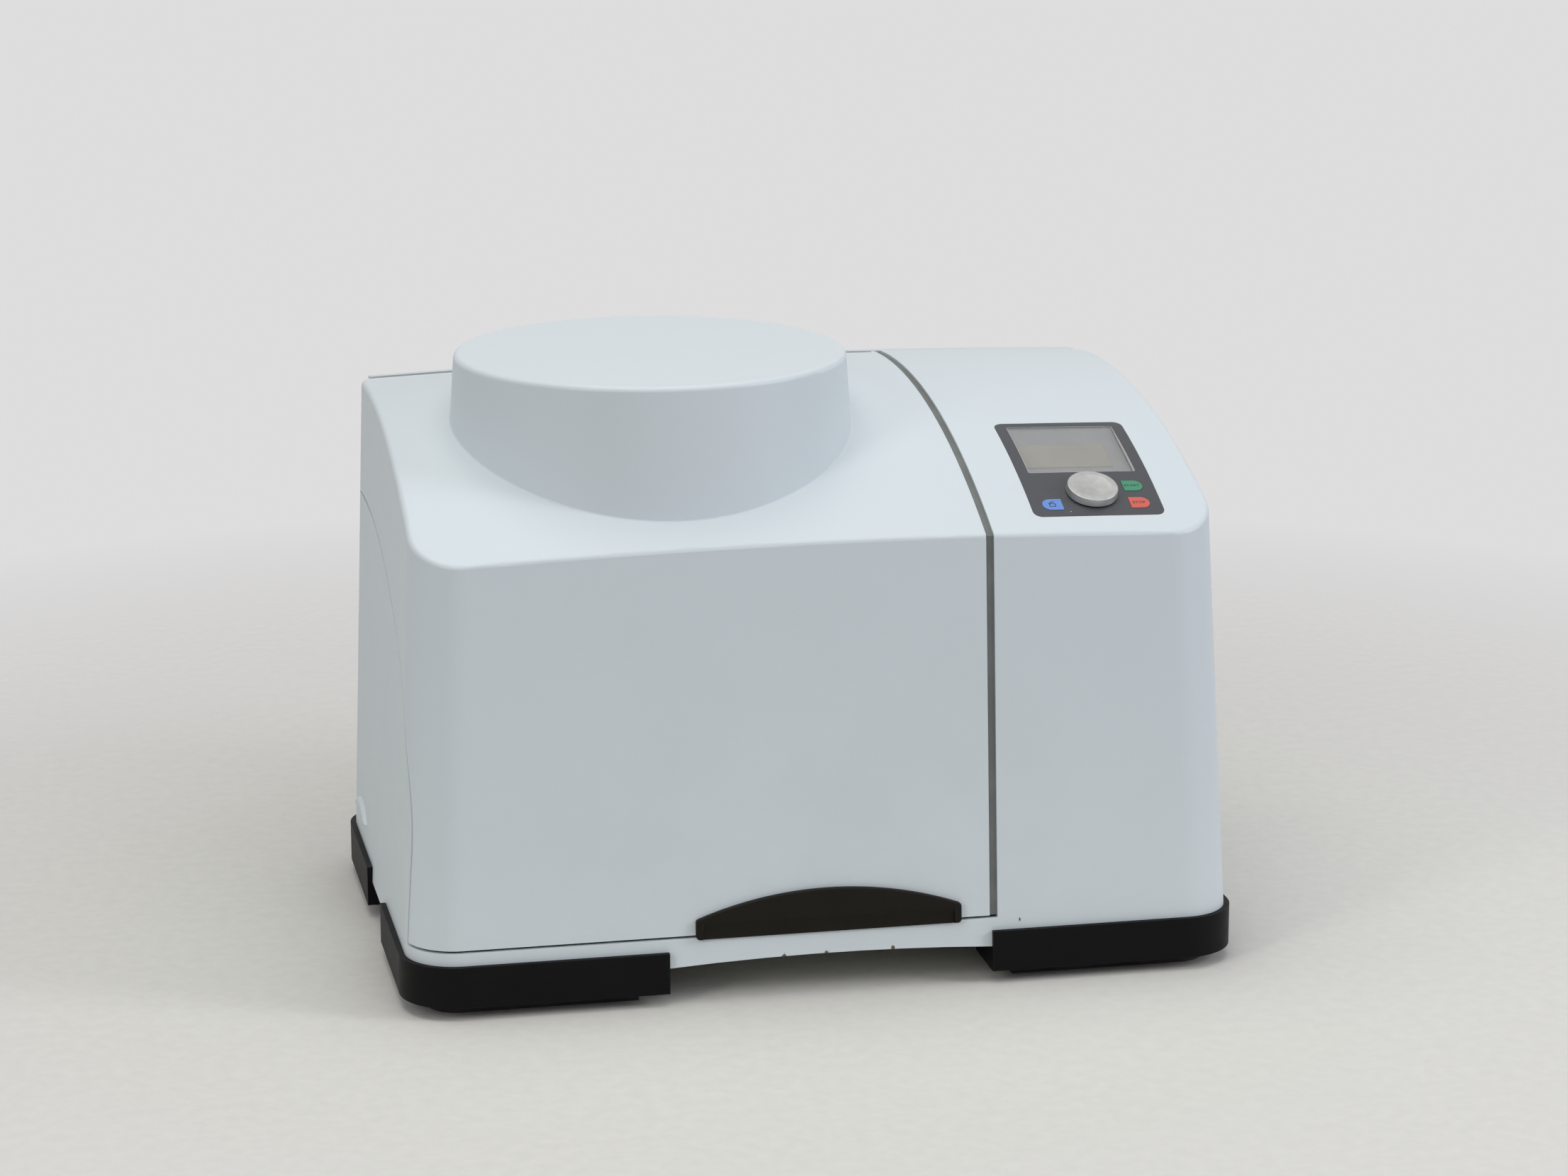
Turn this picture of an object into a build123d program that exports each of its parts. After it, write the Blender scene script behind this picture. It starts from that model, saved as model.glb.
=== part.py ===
"""Planetary ball mill: a bench instrument with a domed lid, a control tower and a planetary drive.

Millimetres, +Z up.  The origin is on the floor, midway between the four corner feet.
The operator stands at -Y, the control tower is on the +X side and the lid hinge is at +Y.
"""
from build123d import *
from math import asin, atan2, cos, degrees, radians, sin, sqrt, tan
import os

os.makedirs("parts", exist_ok=True)

# --------------------------------------------------------------------------
# Body: plan, lean and top surface
# --------------------------------------------------------------------------
WIDTH = 630.0                # over the corner feet
DEPTH = 415.0                # over the corner feet
FOOT_PROUD = 4.5             # a foot's wall outside the housing
SIDE_DRAFT = 0.038           # lean of each side, mm per mm of height
FRONT_LEAN = 0.0788          # lean of the front, mm per mm of height
PLAN_RADIUS = 38.0           # vertical corners of the housing
NOMINAL_Z = 42.0             # level at which the housing has its nominal plan
HOUSING_BOTTOM = 28.5
WALL = 3.5                   # housing and lid wall
TOP_RADIUS = 681.0           # front-to-back arc of the top
TOP_AXIS_Y = DEPTH / 2 - 83.2
TOP_AXIS_Z = -272.2
CROWN_RADIUS = 7000.0        # side-to-side crown of the top
TOP_EDGE_FILLET = 4.0
FAR = 500.0                  # reach of a cutting solid beyond the mill

# Dome over the grinding station
DOME_X = -95.5               # axis shared by dome, chamber and sun wheel
DOME_BACK = 4.0              # the dome stands a little behind that axis
DOME_RADIUS = 155.8          # at the level it is drawn up from
DOME_TOP = 448.2             # highest point of the mill
DOME_TAPER = 4.0
DOME_EDGE = 4.5
DOME_FOOT_FILLET = 1.5
DOME_START = 336.0           # the dome is drawn up from below the top surface

# Seam between lid and housing
LID_RIGHT = 119.9
LID_GROOVE = 6.0             # groove between the lid and the tower
SEAM_GAP = 2.0
SEAM_FRONT_Z = 52.0          # lower edge of the lid's front
SEAM_REAR_Z = 315.0
SEAM_RADIUS = 480.0          # long arc of the cheek's seam
SEAM_NOSE_RADIUS = 160.0     # tighter arc where the seam turns down
SEAM_NOSE_ANGLE = 26.9       # where the two arcs meet, from the vertical
SEAM_NOSE_BACK = 32.72       # the nose's plumb edge behind the front feet
REAR_CUT_Y = DEPTH / 2 - 17.5        # the rear cover starts here
REAR_FACE_Y = DEPTH / 2 - 2.0
REAR_SHEET = 2.0
REAR_STRIP_Z = 50.0          # the rear cover stands on the housing's rear strip
FIT = 0.3                    # gap round a part that drops into its seat

# Hinge
HINGE_Y = REAR_CUT_Y - 6.0
HINGE_Z = 399.0
KNUCKLE_RADIUS = 4.5
HINGE_PIN_RADIUS = 2.0
HINGE_XS = (-190.0, 0.0)
KNUCKLE = 16.0
KNUCKLE_PLAY = 0.3
KNUCKLE_AIR = 1.2            # clear of the lid's knuckle as it turns
BEAM_DROP = 2.0              # the fixed leaf ends below the pin
PIN_FIT = 0.04               # radial running clearance of pins and shafts
LID_REAR_EDGE_Y = HINGE_Y - 6.0
LID_CHEEK_END_Y = REAR_CUT_Y - 1.5
HINGE_BEAM_Z = 354.0
LEAF = 2.5
LEAF_LONG = 30.0

# Grinding chamber
CHAMBER_RADIUS = 155.0
CHAMBER_WALL = 3.0
CHAMBER_FLOOR_Z = 115.5      # top of the chamber floor
RIM_Z = 298.0                # rim height on the chamber's axis
RIM_ANGLE = 27.7             # the rim rises to the rear
GASKET_HEIGHT = 3.5
GASKET_SIDE = 2.0
GASKET_GRIP = 8.0
SLEEVE = 3.5                 # thickness of the lid's inner sleeve
DECK_DROP = 10.0             # deck below the cheek's seam
DECK_SHEET = 3.0
DECK_REAR_Y = HINGE_Y - 12.0
DECK_REAR_TOP = 384.0
DECK_SHELF_Y = REAR_CUT_Y + 9.0      # the rear wall folds back under the hinge groove

# Base
SOLE_HEIGHT = 10.0
SOLE_INSET = 20.0
SOLE_BAND = 24.0
FOOT_TOP = 40.8
FOOT_RADIUS = 42.5
FOOT_FRONT_END = 121.5       # |x| where the feet end on the front and rear
FOOT_SIDE_END = 44.7         # |y| where they end on the sides
FOOT_BAND = 52.0
BASE_PLATE_Z = 34.0
BASE_PLATE = 6.0
STRIP_ARCH = 3.8             # rise of the housing's lower edge between the feet

# Drive
SHAFT_RADIUS = 12.5
SUN_BEARING_RADIUS = 26.0
SUN_BEARING_WIDTH = 15.0
HUB_RADIUS = 36.0
SPIGOT_RADIUS = 31.0
HUB_BOTTOM = 80.0
FLANGE_Z = 100.0
FLANGE = 12.5
FLANGE_RADIUS = 116.0
POST_CIRCLE = 100.0
POST_RADIUS = 10.0
DRIVE_Z = 54.0               # underside of the drive pulleys
DRIVE_WIDTH = 18.0
SUN_PULLEY_RADIUS = 75.0
MOTOR_PULLEY_RADIUS = 30.0
BELT = 2.6                   # belt standing outside the pulley rim
BELT_CLEAR = 0.3
GROOVES = 3
FIXED_PULLEY_RADIUS = 42.0
PLANET_PULLEY_RADIUS = 21.0
PLANET_DRIVE_Z = 120.0
PLANET_DRIVE_WIDTH = 14.0
MOTOR_X = WIDTH / 2 - 110.0
MOTOR_Y = 20.0
MOTOR_RADIUS = 62.0
MOTOR_FIN = 6.0
MOTOR_Z = 104.0
MOTOR_HEIGHT = 176.0
MOTOR_SHAFT_RADIUS = 9.5

# Sun wheel and grinding station
SUN_DISC_Z = 146.0
SUN_DISC = 12.0
SUN_DISC_RADIUS = 142.0
PLANET_ARM = 70.5            # sun axis to jar axis
PLANET_SHAFT_RADIUS = 10.0
PLANET_BEARING_RADIUS = 23.5
PLANET_BEARING_WIDTH = 14.0
CARTRIDGE_RADIUS = 29.0
HOLDER_Z = 184.0
HOLDER_PLATE = 10.0
HOLDER_RADIUS = 64.0
JAR_RADIUS = 55.0
JAR_BORE = 47.0
JAR_HEIGHT = 92.0
JAR_BASE = 8.0
JAR_FOOT_FILLET = 6.0
JAR_LID = 14.0
ARM_WIDTH = 36.0
ARM_THICK = 7.0
BRIDGE_Z = 322.0
BRIDGE = 16.0
SPINDLE_RADIUS = 9.0
SPINDLE_TOP = 404.0
HANDWHEEL_RADIUS = 32.0
HANDWHEEL = 18.0
WEIGHT_SLOPE = 20.0          # the counterweight's rail rises outwards

# Control panel on the tower
PANEL_X = WIDTH / 2 - 103.3
PANEL_Y = -DEPTH / 2 + 107.5
PANEL_WIDE = 100.4
PANEL_LONG = 133.4
PANEL_CORNER = 7.0
FASCIA = 1.0
WINDOW_WIDE = 83.0
WINDOW_LONG = 70.5
WINDOW_UP = 25.0             # window centre above the panel centre, along the slope
KNOB_RADIUS = 19.5
KNOB_HEIGHT = 5.6
KNOB_LIFT = 1.0
KNOB_DOWN = 38.0
KEY_LONG = 15.2
KEY_HIGH = 13.0
KEY_SIDE = 33.7
START_DOWN = 29.7
STOP_DOWN = 50.8
OPEN_DOWN = 52.0
BOARD_DEPTH = 15.0
BOARD_CORNER = 3.0

# Lid handle and lock
HANDLE_X = -1.9
HANDLE_HALF = 99.6
HANDLE_LOW_Z = 48.8
HANDLE_END_Z = 63.6
HANDLE_TOP_Z = 81.7
HANDLE_PROUD = 4.2
LOCK_X = -2.0
LOCK_Z = 92.0
BOLT_RADIUS = 4.0
BOLT_TRAVEL = 14.0

TOWER_X = LID_RIGHT + LID_GROOVE
# behind SEAM_FLAT_Y the cheek's seam runs level
SEAM_REACH = (SEAM_RADIUS - SEAM_NOSE_RADIUS) * sin(radians(SEAM_NOSE_ANGLE))
SEAM_FLAT_Y = -DEPTH / 2 + SEAM_NOSE_BACK + SEAM_NOSE_RADIUS + SEAM_REACH
SUN = (DOME_X, 0.0)
PLANET = (DOME_X, -PLANET_ARM)
MOTOR = (MOTOR_X, MOTOR_Y)


# --------------------------------------------------------------------------
# Shared shapes
# --------------------------------------------------------------------------
def half_width(z, inset=0.0):
    """Half the housing's width at height z."""
    return WIDTH / 2 - FOOT_PROUD - SIDE_DRAFT * (z - NOMINAL_Z) - inset


def front_y(z, inset=0.0):
    """The housing's front face at height z."""
    return -DEPTH / 2 + FOOT_PROUD + FRONT_LEAN * (z - NOMINAL_Z) + inset


def crown_drop(x):
    """How far the crown has fallen at x."""
    return CROWN_RADIUS - sqrt(CROWN_RADIUS**2 - x**2)


def top_z(x, y, drop=0.0):
    """Height of the top surface, lowered by drop."""
    return TOP_AXIS_Z + sqrt((TOP_RADIUS - drop - crown_drop(x)) ** 2 - (y - TOP_AXIS_Y) ** 2)


def top_plane(x, y):
    """Plane that touches the top surface at x, y, with its local Y pointing up the slope."""
    radius = TOP_RADIUS - crown_drop(x)
    fall = asin((y - TOP_AXIS_Y) / radius)
    side = asin(x / CROWN_RADIUS)
    outward = (sin(side), cos(side) * sin(fall), cos(side) * cos(fall))
    across = (cos(side), -sin(side) * sin(fall), -sin(side) * cos(fall))
    return Plane(origin=(x, y, top_z(x, y)), x_dir=across, z_dir=outward)


def panel_point(right, up):
    """Plane on the top surface, right and up the slope from the panel's centre."""
    tilt = asin((TOP_AXIS_Y - PANEL_Y) / TOP_RADIUS)
    return top_plane(PANEL_X + right, PANEL_Y + up * cos(tilt))


def under_top(drop):
    """Everything below the crowned top surface, lowered by drop."""
    radius = TOP_RADIUS - drop
    reach = WIDTH / 2 + FOOT_PROUD
    end = radius - crown_drop(reach)
    with BuildPart() as barrel:
        with BuildSketch(Plane(origin=(0, TOP_AXIS_Y, TOP_AXIS_Z), x_dir=(1, 0, 0), z_dir=(0, 1, 0))):
            with BuildLine():
                ThreePointArc((-reach, end), (0, radius), (reach, end))
                Polyline((reach, end), (reach, 0), (-reach, 0), (-reach, end))
            make_face()
        revolve(axis=Axis((0, TOP_AXIS_Y, TOP_AXIS_Z), (1, 0, 0)))
    return barrel.part


def housing_block(inset, bottom):
    """The closed outer form of lid and housing together, drawn in by inset."""
    rear = DEPTH / 2 - FOOT_PROUD - inset
    with BuildPart() as block:
        for level in (bottom, DOME_TOP):
            front = front_y(level, inset)
            with BuildSketch(Plane.XY.offset(level)):
                with Locations((0, (front + rear) / 2)):
                    RectangleRounded(2 * half_width(level, inset), rear - front, PLAN_RADIUS - inset)
        loft(ruled=True)
        add(under_top(inset), mode=Mode.INTERSECT)
    return block.part


def dome_form(inset):
    """The dome's outer form, drawn in by inset."""
    with BuildPart() as form:
        with BuildSketch(Plane.XY.offset(DOME_START)):
            with Locations((DOME_X, DOME_BACK)):
                Circle(DOME_RADIUS - inset)
        extrude(amount=DOME_TOP - DOME_START - inset, taper=DOME_TAPER)
    return form.part


def long_centre():
    """Centre of the seam's long arc, as (y, z)."""
    return (SEAM_FLAT_Y, SEAM_REAR_Z - SEAM_RADIUS)


def nose_centre():
    """Centre of the seam's nose arc, as (y, z)."""
    reach = SEAM_RADIUS - SEAM_NOSE_RADIUS
    y, z = long_centre()
    return (y - reach * sin(radians(SEAM_NOSE_ANGLE)), z + reach * cos(radians(SEAM_NOSE_ANGLE)))


def seam_arcs(drop):
    """The two arcs of the cheek's seam, drawn in by drop, for a line on a YZ plane."""
    CenterArc(long_centre(), SEAM_RADIUS - drop, 90, SEAM_NOSE_ANGLE)
    CenterArc(nose_centre(), SEAM_NOSE_RADIUS - drop, 90 + SEAM_NOSE_ANGLE, 90 - SEAM_NOSE_ANGLE)


def above_seam(drop, x_low, x_high):
    """The space of the lid, from the seam up and forward; drop opens the seam's gap."""
    level = SEAM_REAR_Z - drop
    nose = nose_centre()
    plumb = nose[0] - SEAM_NOSE_RADIUS + drop
    sill = SEAM_FRONT_Z - drop
    with BuildPart() as space:
        with BuildSketch(Plane.YZ.offset(x_low)):
            with BuildLine():
                Line((FAR, level), (SEAM_FLAT_Y, level))
                seam_arcs(drop)
                Polyline((plumb, nose[1]), (plumb, sill), (-FAR, sill), (-FAR, FAR), (FAR, FAR), (FAR, level))
            make_face()
        extrude(amount=x_high - x_low)
    return space.part


def slab(x_low, x_high, y_low, y_high, z_low, z_high):
    """A plain cutting block between six planes."""
    with BuildPart() as block:
        with BuildSketch(Plane.XY.offset(z_low)):
            with Locations(((x_low + x_high) / 2, (y_low + y_high) / 2)):
                Rectangle(x_high - x_low, y_high - y_low)
        extrude(amount=z_high - z_low)
    return block.part


def disc(centre, radius, z_low, z_high):
    """A plain upright cylinder, for cutting and joining."""
    with BuildPart() as round_block:
        with BuildSketch(Plane.XY.offset(z_low)):
            with Locations(centre):
                Circle(radius)
        extrude(amount=z_high - z_low)
    return round_block.part


def turned(centre, outline):
    """A body of revolution about the upright axis through centre, from (radius, z) points."""
    with BuildPart() as body:
        with BuildSketch(Plane.XZ.offset(-centre[1])):
            with BuildLine():
                Polyline(*[(centre[0] + radius, z) for radius, z in outline], close=True)
            make_face()
        revolve(axis=Axis((centre[0], centre[1], 0), (0, 0, 1)))
    return body.part


def rim_plane(lift):
    """The chamber's rim plane, raised by lift along its normal."""
    slope = radians(RIM_ANGLE)
    seat = Plane(origin=(DOME_X, 0, RIM_Z), x_dir=(1, 0, 0), z_dir=(0, -sin(slope), cos(slope)))
    return seat.offset(lift)


def keep(name, solid):
    """Label a finished piece and write it to its own file."""
    solid.label = name
    export_step(solid, f"parts/{name}.step")


outer_block = housing_block(0.0, HOUSING_BOTTOM)
with BuildPart() as soft_block:
    add(outer_block)
    fillet(soft_block.faces().sort_by(Axis.Z)[-1].edges(), TOP_EDGE_FILLET)
inner_block = housing_block(WALL, HOUSING_BOTTOM - FAR / 100)
seat_block = housing_block(WALL + FIT, HOUSING_BOTTOM)

# --------------------------------------------------------------------------
# Lid: front, top and dome in one shell, with a cheek on the left and a flange on the right
# --------------------------------------------------------------------------
with BuildPart() as lid_hollow:
    add(inner_block)
    add(dome_form(WALL))
    add(slab(-FAR, LID_RIGHT - WALL, -FAR, FAR, 0, FAR), mode=Mode.INTERSECT)
groove_left = -half_width(HINGE_Z) + 2 * WALL
CHEEK_NOTCH = 2.0            # behind the hinge's axis
with BuildPart() as lid_shell:
    add(soft_block.part)
    add(dome_form(0.0))
    crown_top = lid_shell.faces().sort_by(Axis.Z)[-1]
    fillet(crown_top.edges(), DOME_EDGE)
    foot = lid_shell.edges().filter_by(
        lambda edge: edge.bounding_box().min.Z > DOME_START
        and edge.bounding_box().max.Z < DOME_TOP - 2 * DOME_EDGE
        and abs(edge.bounding_box().size.X - 2 * DOME_RADIUS) < 0.1 * DOME_RADIUS
    )
    fillet(foot, DOME_FOOT_FILLET)
    add(above_seam(0.0, -FAR, LID_RIGHT), mode=Mode.INTERSECT)
    add(lid_hollow.part, mode=Mode.SUBTRACT)
    add(slab(-FAR, FAR, LID_CHEEK_END_Y, FAR, 0, FAR), mode=Mode.SUBTRACT)
    add(
        slab(groove_left, LID_RIGHT - WALL, LID_REAR_EDGE_Y, FAR, HINGE_Z - KNUCKLE, FAR),
        mode=Mode.SUBTRACT,
    )
    # the cheeks' top corners, cut back so they swing clear of the rear cover
    add(slab(-FAR, FAR, HINGE_Y + CHEEK_NOTCH, FAR, HINGE_Z + CHEEK_NOTCH / 2, FAR), mode=Mode.SUBTRACT)
keep("lid_shell", lid_shell.part)

# --------------------------------------------------------------------------
# Housing: front strip, left cheek and the whole control tower, moulded in one
# --------------------------------------------------------------------------
with BuildPart() as housing:
    add(soft_block.part)
    add(above_seam(SEAM_GAP, -FAR, TOWER_X), mode=Mode.SUBTRACT)
    add(inner_block & slab(-FAR, TOWER_X, -FAR, FAR, 0, FAR), mode=Mode.SUBTRACT)
    add(inner_block & slab(TOWER_X + WALL, FAR, -FAR, FAR, 0, FAR), mode=Mode.SUBTRACT)
    add(slab(-FAR, FAR, REAR_CUT_Y, FAR, REAR_STRIP_Z, FAR), mode=Mode.SUBTRACT)
    # belt passage and base plate slot in the tower's inner wall
    wall_low, wall_high = TOWER_X - FIT, TOWER_X + WALL + FIT
    add(slab(wall_low, wall_high, -FOOT_BAND - POST_RADIUS, 90, 0, FLANGE_Z - FIT), mode=Mode.SUBTRACT)
    plate_reach = -front_y(BASE_PLATE_Z, WALL)
    add(
        slab(wall_low, wall_high, -plate_reach, plate_reach, 0, BASE_PLATE_Z + BASE_PLATE + FIT),
        mode=Mode.SUBTRACT,
    )
    # the lower edge rises in a shallow arch between the feet, front and rear
    with BuildSketch(Plane.XZ.offset(-FAR)):
        with BuildLine():
            ThreePointArc(
                (-FOOT_FRONT_END, HOUSING_BOTTOM),
                (0, HOUSING_BOTTOM + STRIP_ARCH),
                (FOOT_FRONT_END, HOUSING_BOTTOM),
            )
            Line((FOOT_FRONT_END, HOUSING_BOTTOM), (-FOOT_FRONT_END, HOUSING_BOTTOM))
        make_face()
    extrude(amount=2 * FAR, mode=Mode.SUBTRACT)


def panel_prism(wide, long, corner, up, low, high, right=0.0):
    """A rounded block square to the control panel, between two heights above its surface."""
    base = panel_point(0.0, 0.0)
    seat = Plane(origin=base.from_local_coords((right, up, low)), x_dir=base.x_dir, z_dir=base.z_dir)
    with BuildPart() as prism:
        with BuildSketch(seat):
            RectangleRounded(wide, long, corner)
        extrude(amount=high - low)
    return prism.part


def key_outline(side, grow):
    """A key's outline: one end straight, the outer end a half round."""
    radius = KEY_HIGH / 2
    with BuildSketch() as outline:
        with Locations((side * radius / 2 * -1, 0)):
            Rectangle(KEY_LONG - radius + 2 * grow, KEY_HIGH + 2 * grow)
        with Locations((side * (KEY_LONG / 2 - radius), 0)):
            Circle(radius + grow)
    return outline.sketch


def key_form(right, down, low, high, grow):
    """The body of one key, between two heights above the panel's surface."""
    plane = panel_point(right, -down)
    side = 1 if right > 0 else -1
    with BuildPart() as form:
        with BuildSketch(plane.offset(low)):
            add(key_outline(side, grow))
        extrude(amount=high - low)
    return form.part


def knob_form(radius, low, high):
    """A round body on the knob's axis, between two heights above the panel's surface."""
    with BuildPart() as form:
        with BuildSketch(panel_point(0.0, -KNOB_DOWN).offset(low)):
            Circle(radius)
        extrude(amount=high - low)
    return form.part


KEYS = {
    "start_key": (KEY_SIDE, START_DOWN),
    "stop_key": (KEY_SIDE, STOP_DOWN),
    "lid_release_key": (-KEY_SIDE, OPEN_DOWN),
}
BOSS = 5.0
BOSS_EDGE = 3.5
SCOOP_Y = DEPTH / 2 - 87.5           # air scoop on the left cheek
SCOOP_Z = 62.0
SCOOP_LONG = 66.0
SCOOP_HIGH = 12.0
SCOOP_PROUD = 3.2
SCOOP_MOUTH = 2.0                    # height of the slot under its lip
PANEL_THROUGH = 12.0         # deeper than the panel's recess and wall
BUSH_RADIUS = 4.5
KEY_FLANGE = 1.2
boss_right = PANEL_WIDE / 2 - BOSS_EDGE
boss_up = PANEL_LONG / 2 - BOSS_EDGE

def panel_post(right, up, side, low, high):
    """A square post under the panel, between two heights above the surface at its own place."""
    with BuildPart() as post:
        with BuildSketch(panel_point(right, up).offset(low)):
            Rectangle(side, side)
        extrude(amount=high - low)
    return post.part


def panel_drop(right, up):
    """How far the crowned surface at right, up lies above the panel's own plane (below is negative)."""
    middle = panel_point(0.0, 0.0)
    return (panel_point(right, up).origin - middle.origin).dot(middle.z_dir)


with BuildPart() as housing_cut:
    add(housing.part)
    # recess for the fascia, following the crowned top
    recess = panel_prism(
        PANEL_WIDE + 2 * FIT, PANEL_LONG + 2 * FIT, PANEL_CORNER, 0, -PANEL_THROUGH, PANEL_THROUGH
    )
    add(recess - under_top(FASCIA), mode=Mode.SUBTRACT)
    window = panel_prism(
        WINDOW_WIDE + 2 * FIT, WINDOW_LONG + 2 * FIT, 1.5, WINDOW_UP, -PANEL_THROUGH, PANEL_THROUGH
    )
    add(window, mode=Mode.SUBTRACT)
    for right, down in KEYS.values():
        add(key_form(right, down, -PANEL_THROUGH, PANEL_THROUGH, FIT), mode=Mode.SUBTRACT)
    add(knob_form(BUSH_RADIUS + FIT, -PANEL_THROUGH, PANEL_THROUGH), mode=Mode.SUBTRACT)
    # bosses that carry the control board
    for right in (-boss_right, boss_right):
        for up in (-boss_up, boss_up):
            add(panel_post(right, up, BOSS, -BOARD_DEPTH, FIT - WALL))
    board_space = panel_prism(
        PANEL_WIDE + FIT, PANEL_LONG + FIT, BOARD_CORNER, 0, -BOARD_DEPTH - PANEL_THROUGH, -BOARD_DEPTH
    )
    add(board_space, mode=Mode.SUBTRACT)
    # air scoop low on the left cheek: a shallow hood over a slot
    scoop_face = half_width(SCOOP_Z)
    with BuildSketch(Plane.YZ.offset(-scoop_face + WALL / 2)):
        with BuildLine():
            scoop_low = (SCOOP_Y - SCOOP_LONG / 2, SCOOP_Z)
            scoop_far = (SCOOP_Y + SCOOP_LONG / 2, SCOOP_Z)
            ThreePointArc(scoop_low, (SCOOP_Y, SCOOP_Z + SCOOP_HIGH), scoop_far)
            Line(scoop_far, scoop_low)
        make_face()
    extrude(amount=-SCOOP_PROUD - WALL / 2)
    hood_face = housing_cut.faces().sort_by(Axis.X)[0]
    fillet(hood_face.edges(), SCOOP_PROUD * 0.8)
    scoop_mouth = slab(
        -FAR,
        -scoop_face + 2 * WALL,
        SCOOP_Y - SCOOP_LONG / 3,
        SCOOP_Y + SCOOP_LONG / 3,
        SCOOP_Z - SCOOP_MOUTH,
        SCOOP_Z,
    )
    add(scoop_mouth, mode=Mode.SUBTRACT)
keep("housing", housing_cut.part)

# --------------------------------------------------------------------------
# Control panel
# --------------------------------------------------------------------------
WINDOW_CORNER = 1.2
with BuildPart() as fascia:
    add(panel_prism(PANEL_WIDE, PANEL_LONG, PANEL_CORNER, 0, -PANEL_THROUGH, PANEL_THROUGH))
    add(under_top(0.0), mode=Mode.INTERSECT)
    add(under_top(FASCIA), mode=Mode.SUBTRACT)
    add(
        panel_prism(WINDOW_WIDE, WINDOW_LONG, WINDOW_CORNER, WINDOW_UP, -PANEL_THROUGH, PANEL_THROUGH),
        mode=Mode.SUBTRACT,
    )
    for right, down in KEYS.values():
        add(key_form(right, down, -PANEL_THROUGH, PANEL_THROUGH, FIT / 2), mode=Mode.SUBTRACT)
    add(knob_form(BUSH_RADIUS + FIT, -PANEL_THROUGH, PANEL_THROUGH), mode=Mode.SUBTRACT)
keep("panel_fascia", fascia.part)

WINDOW_DEPTH = 3.0
WINDOW_SHEET = 1.2
BEZEL_DEPTH = 5.0
LCD_WIDE = 68.0
LCD_LONG = 33.0
LCD_UP = 20.0
window_top = -WINDOW_DEPTH
window_low = window_top - WINDOW_SHEET
keep(
    "display_window",
    panel_prism(WINDOW_WIDE, WINDOW_LONG, WINDOW_CORNER, WINDOW_UP, window_low, window_top),
)
with BuildPart() as bezel:
    add(panel_prism(WINDOW_WIDE, WINDOW_LONG, WINDOW_CORNER, WINDOW_UP, window_low - BEZEL_DEPTH, window_low))
    lcd_seat = panel_point(0.0, 0.0)
    lcd_middle = lcd_seat.from_local_coords((0, LCD_UP, window_low - BEZEL_DEPTH))
    with BuildSketch(Plane(origin=lcd_middle, x_dir=lcd_seat.x_dir, z_dir=lcd_seat.z_dir)):
        Rectangle(LCD_WIDE, LCD_LONG)
    extrude(amount=BEZEL_DEPTH, mode=Mode.SUBTRACT)
    add(panel_prism(LCD_WIDE + 10, LCD_LONG + 10, 1.0, LCD_UP, -BOARD_DEPTH, window_low - BEZEL_DEPTH))
keep("display_module", bezel.part)

# circuit board with the key switches and the encoder's bush
BOARD = 1.6
SWITCH_DEPTH = 9.2
SWITCH_SIDE = 6.0
with BuildPart() as board:
    add(
        panel_prism(
            PANEL_WIDE, PANEL_LONG - 2 * FIT, BOARD_CORNER, 0, -BOARD_DEPTH - BOARD, -BOARD_DEPTH
        )
    )
    for right, down in KEYS.values():
        foot_depth = BOARD_DEPTH + BOARD / 2 + panel_drop(right, -down)
        add(panel_post(right, -down, SWITCH_SIDE, -foot_depth, -SWITCH_DEPTH))

ENCODER_HOUSING = 6.0
ENCODER_SIDE = 13.0
ENCODER_BASE = 2.0
SHAFT_THIN = 3.0
KNOB_BORE_TOP = KNOB_LIFT + KNOB_HEIGHT - 1.6
PUSH_TRAVEL = 0.6
KNOB_TAPER = 6.0
KNOB_EDGE = 0.6
DISH_RADIUS = 150.0
DISH_DEPTH = 0.7
encoder_plane = panel_point(0.0, -KNOB_DOWN)
encoder_foot = FIT - BOARD_DEPTH - panel_drop(0.0, -KNOB_DOWN)
encoder_floor = encoder_foot + ENCODER_BASE
with BuildPart() as control_board:
    add(board.part)
    add(panel_post(0.0, -KNOB_DOWN, ENCODER_SIDE, encoder_foot - BOARD / 2, encoder_foot + ENCODER_HOUSING))
    add(knob_form(BUSH_RADIUS, encoder_foot + ENCODER_HOUSING / 2, FIT))
    add(knob_form(SHAFT_THIN + PIN_FIT, encoder_floor, PANEL_THROUGH), mode=Mode.SUBTRACT)
keep("control_board", control_board.part)
with BuildPart() as encoder_shaft:
    add(knob_form(SHAFT_THIN, encoder_floor + FIT + PUSH_TRAVEL, KNOB_BORE_TOP))
keep("encoder_shaft", encoder_shaft.part)
with BuildPart() as knob:
    with BuildSketch(encoder_plane.offset(KNOB_LIFT)):
        Circle(KNOB_RADIUS)
    extrude(amount=KNOB_HEIGHT, taper=KNOB_TAPER)
    fillet(knob.faces().filter_by(GeomType.PLANE).sort_by(Axis.Z)[-1].edges(), KNOB_EDGE)
    # shallow dish in the top face
    dish_centre = encoder_plane.from_local_coords(
        (0, 0, KNOB_LIFT + KNOB_HEIGHT - DISH_DEPTH + DISH_RADIUS)
    )
    with Locations(dish_centre):
        Sphere(DISH_RADIUS, mode=Mode.SUBTRACT)
    add(knob_form(SHAFT_THIN + PIN_FIT, 0, KNOB_BORE_TOP + PIN_FIT), mode=Mode.SUBTRACT)
keep("control_knob", knob.part)

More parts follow.
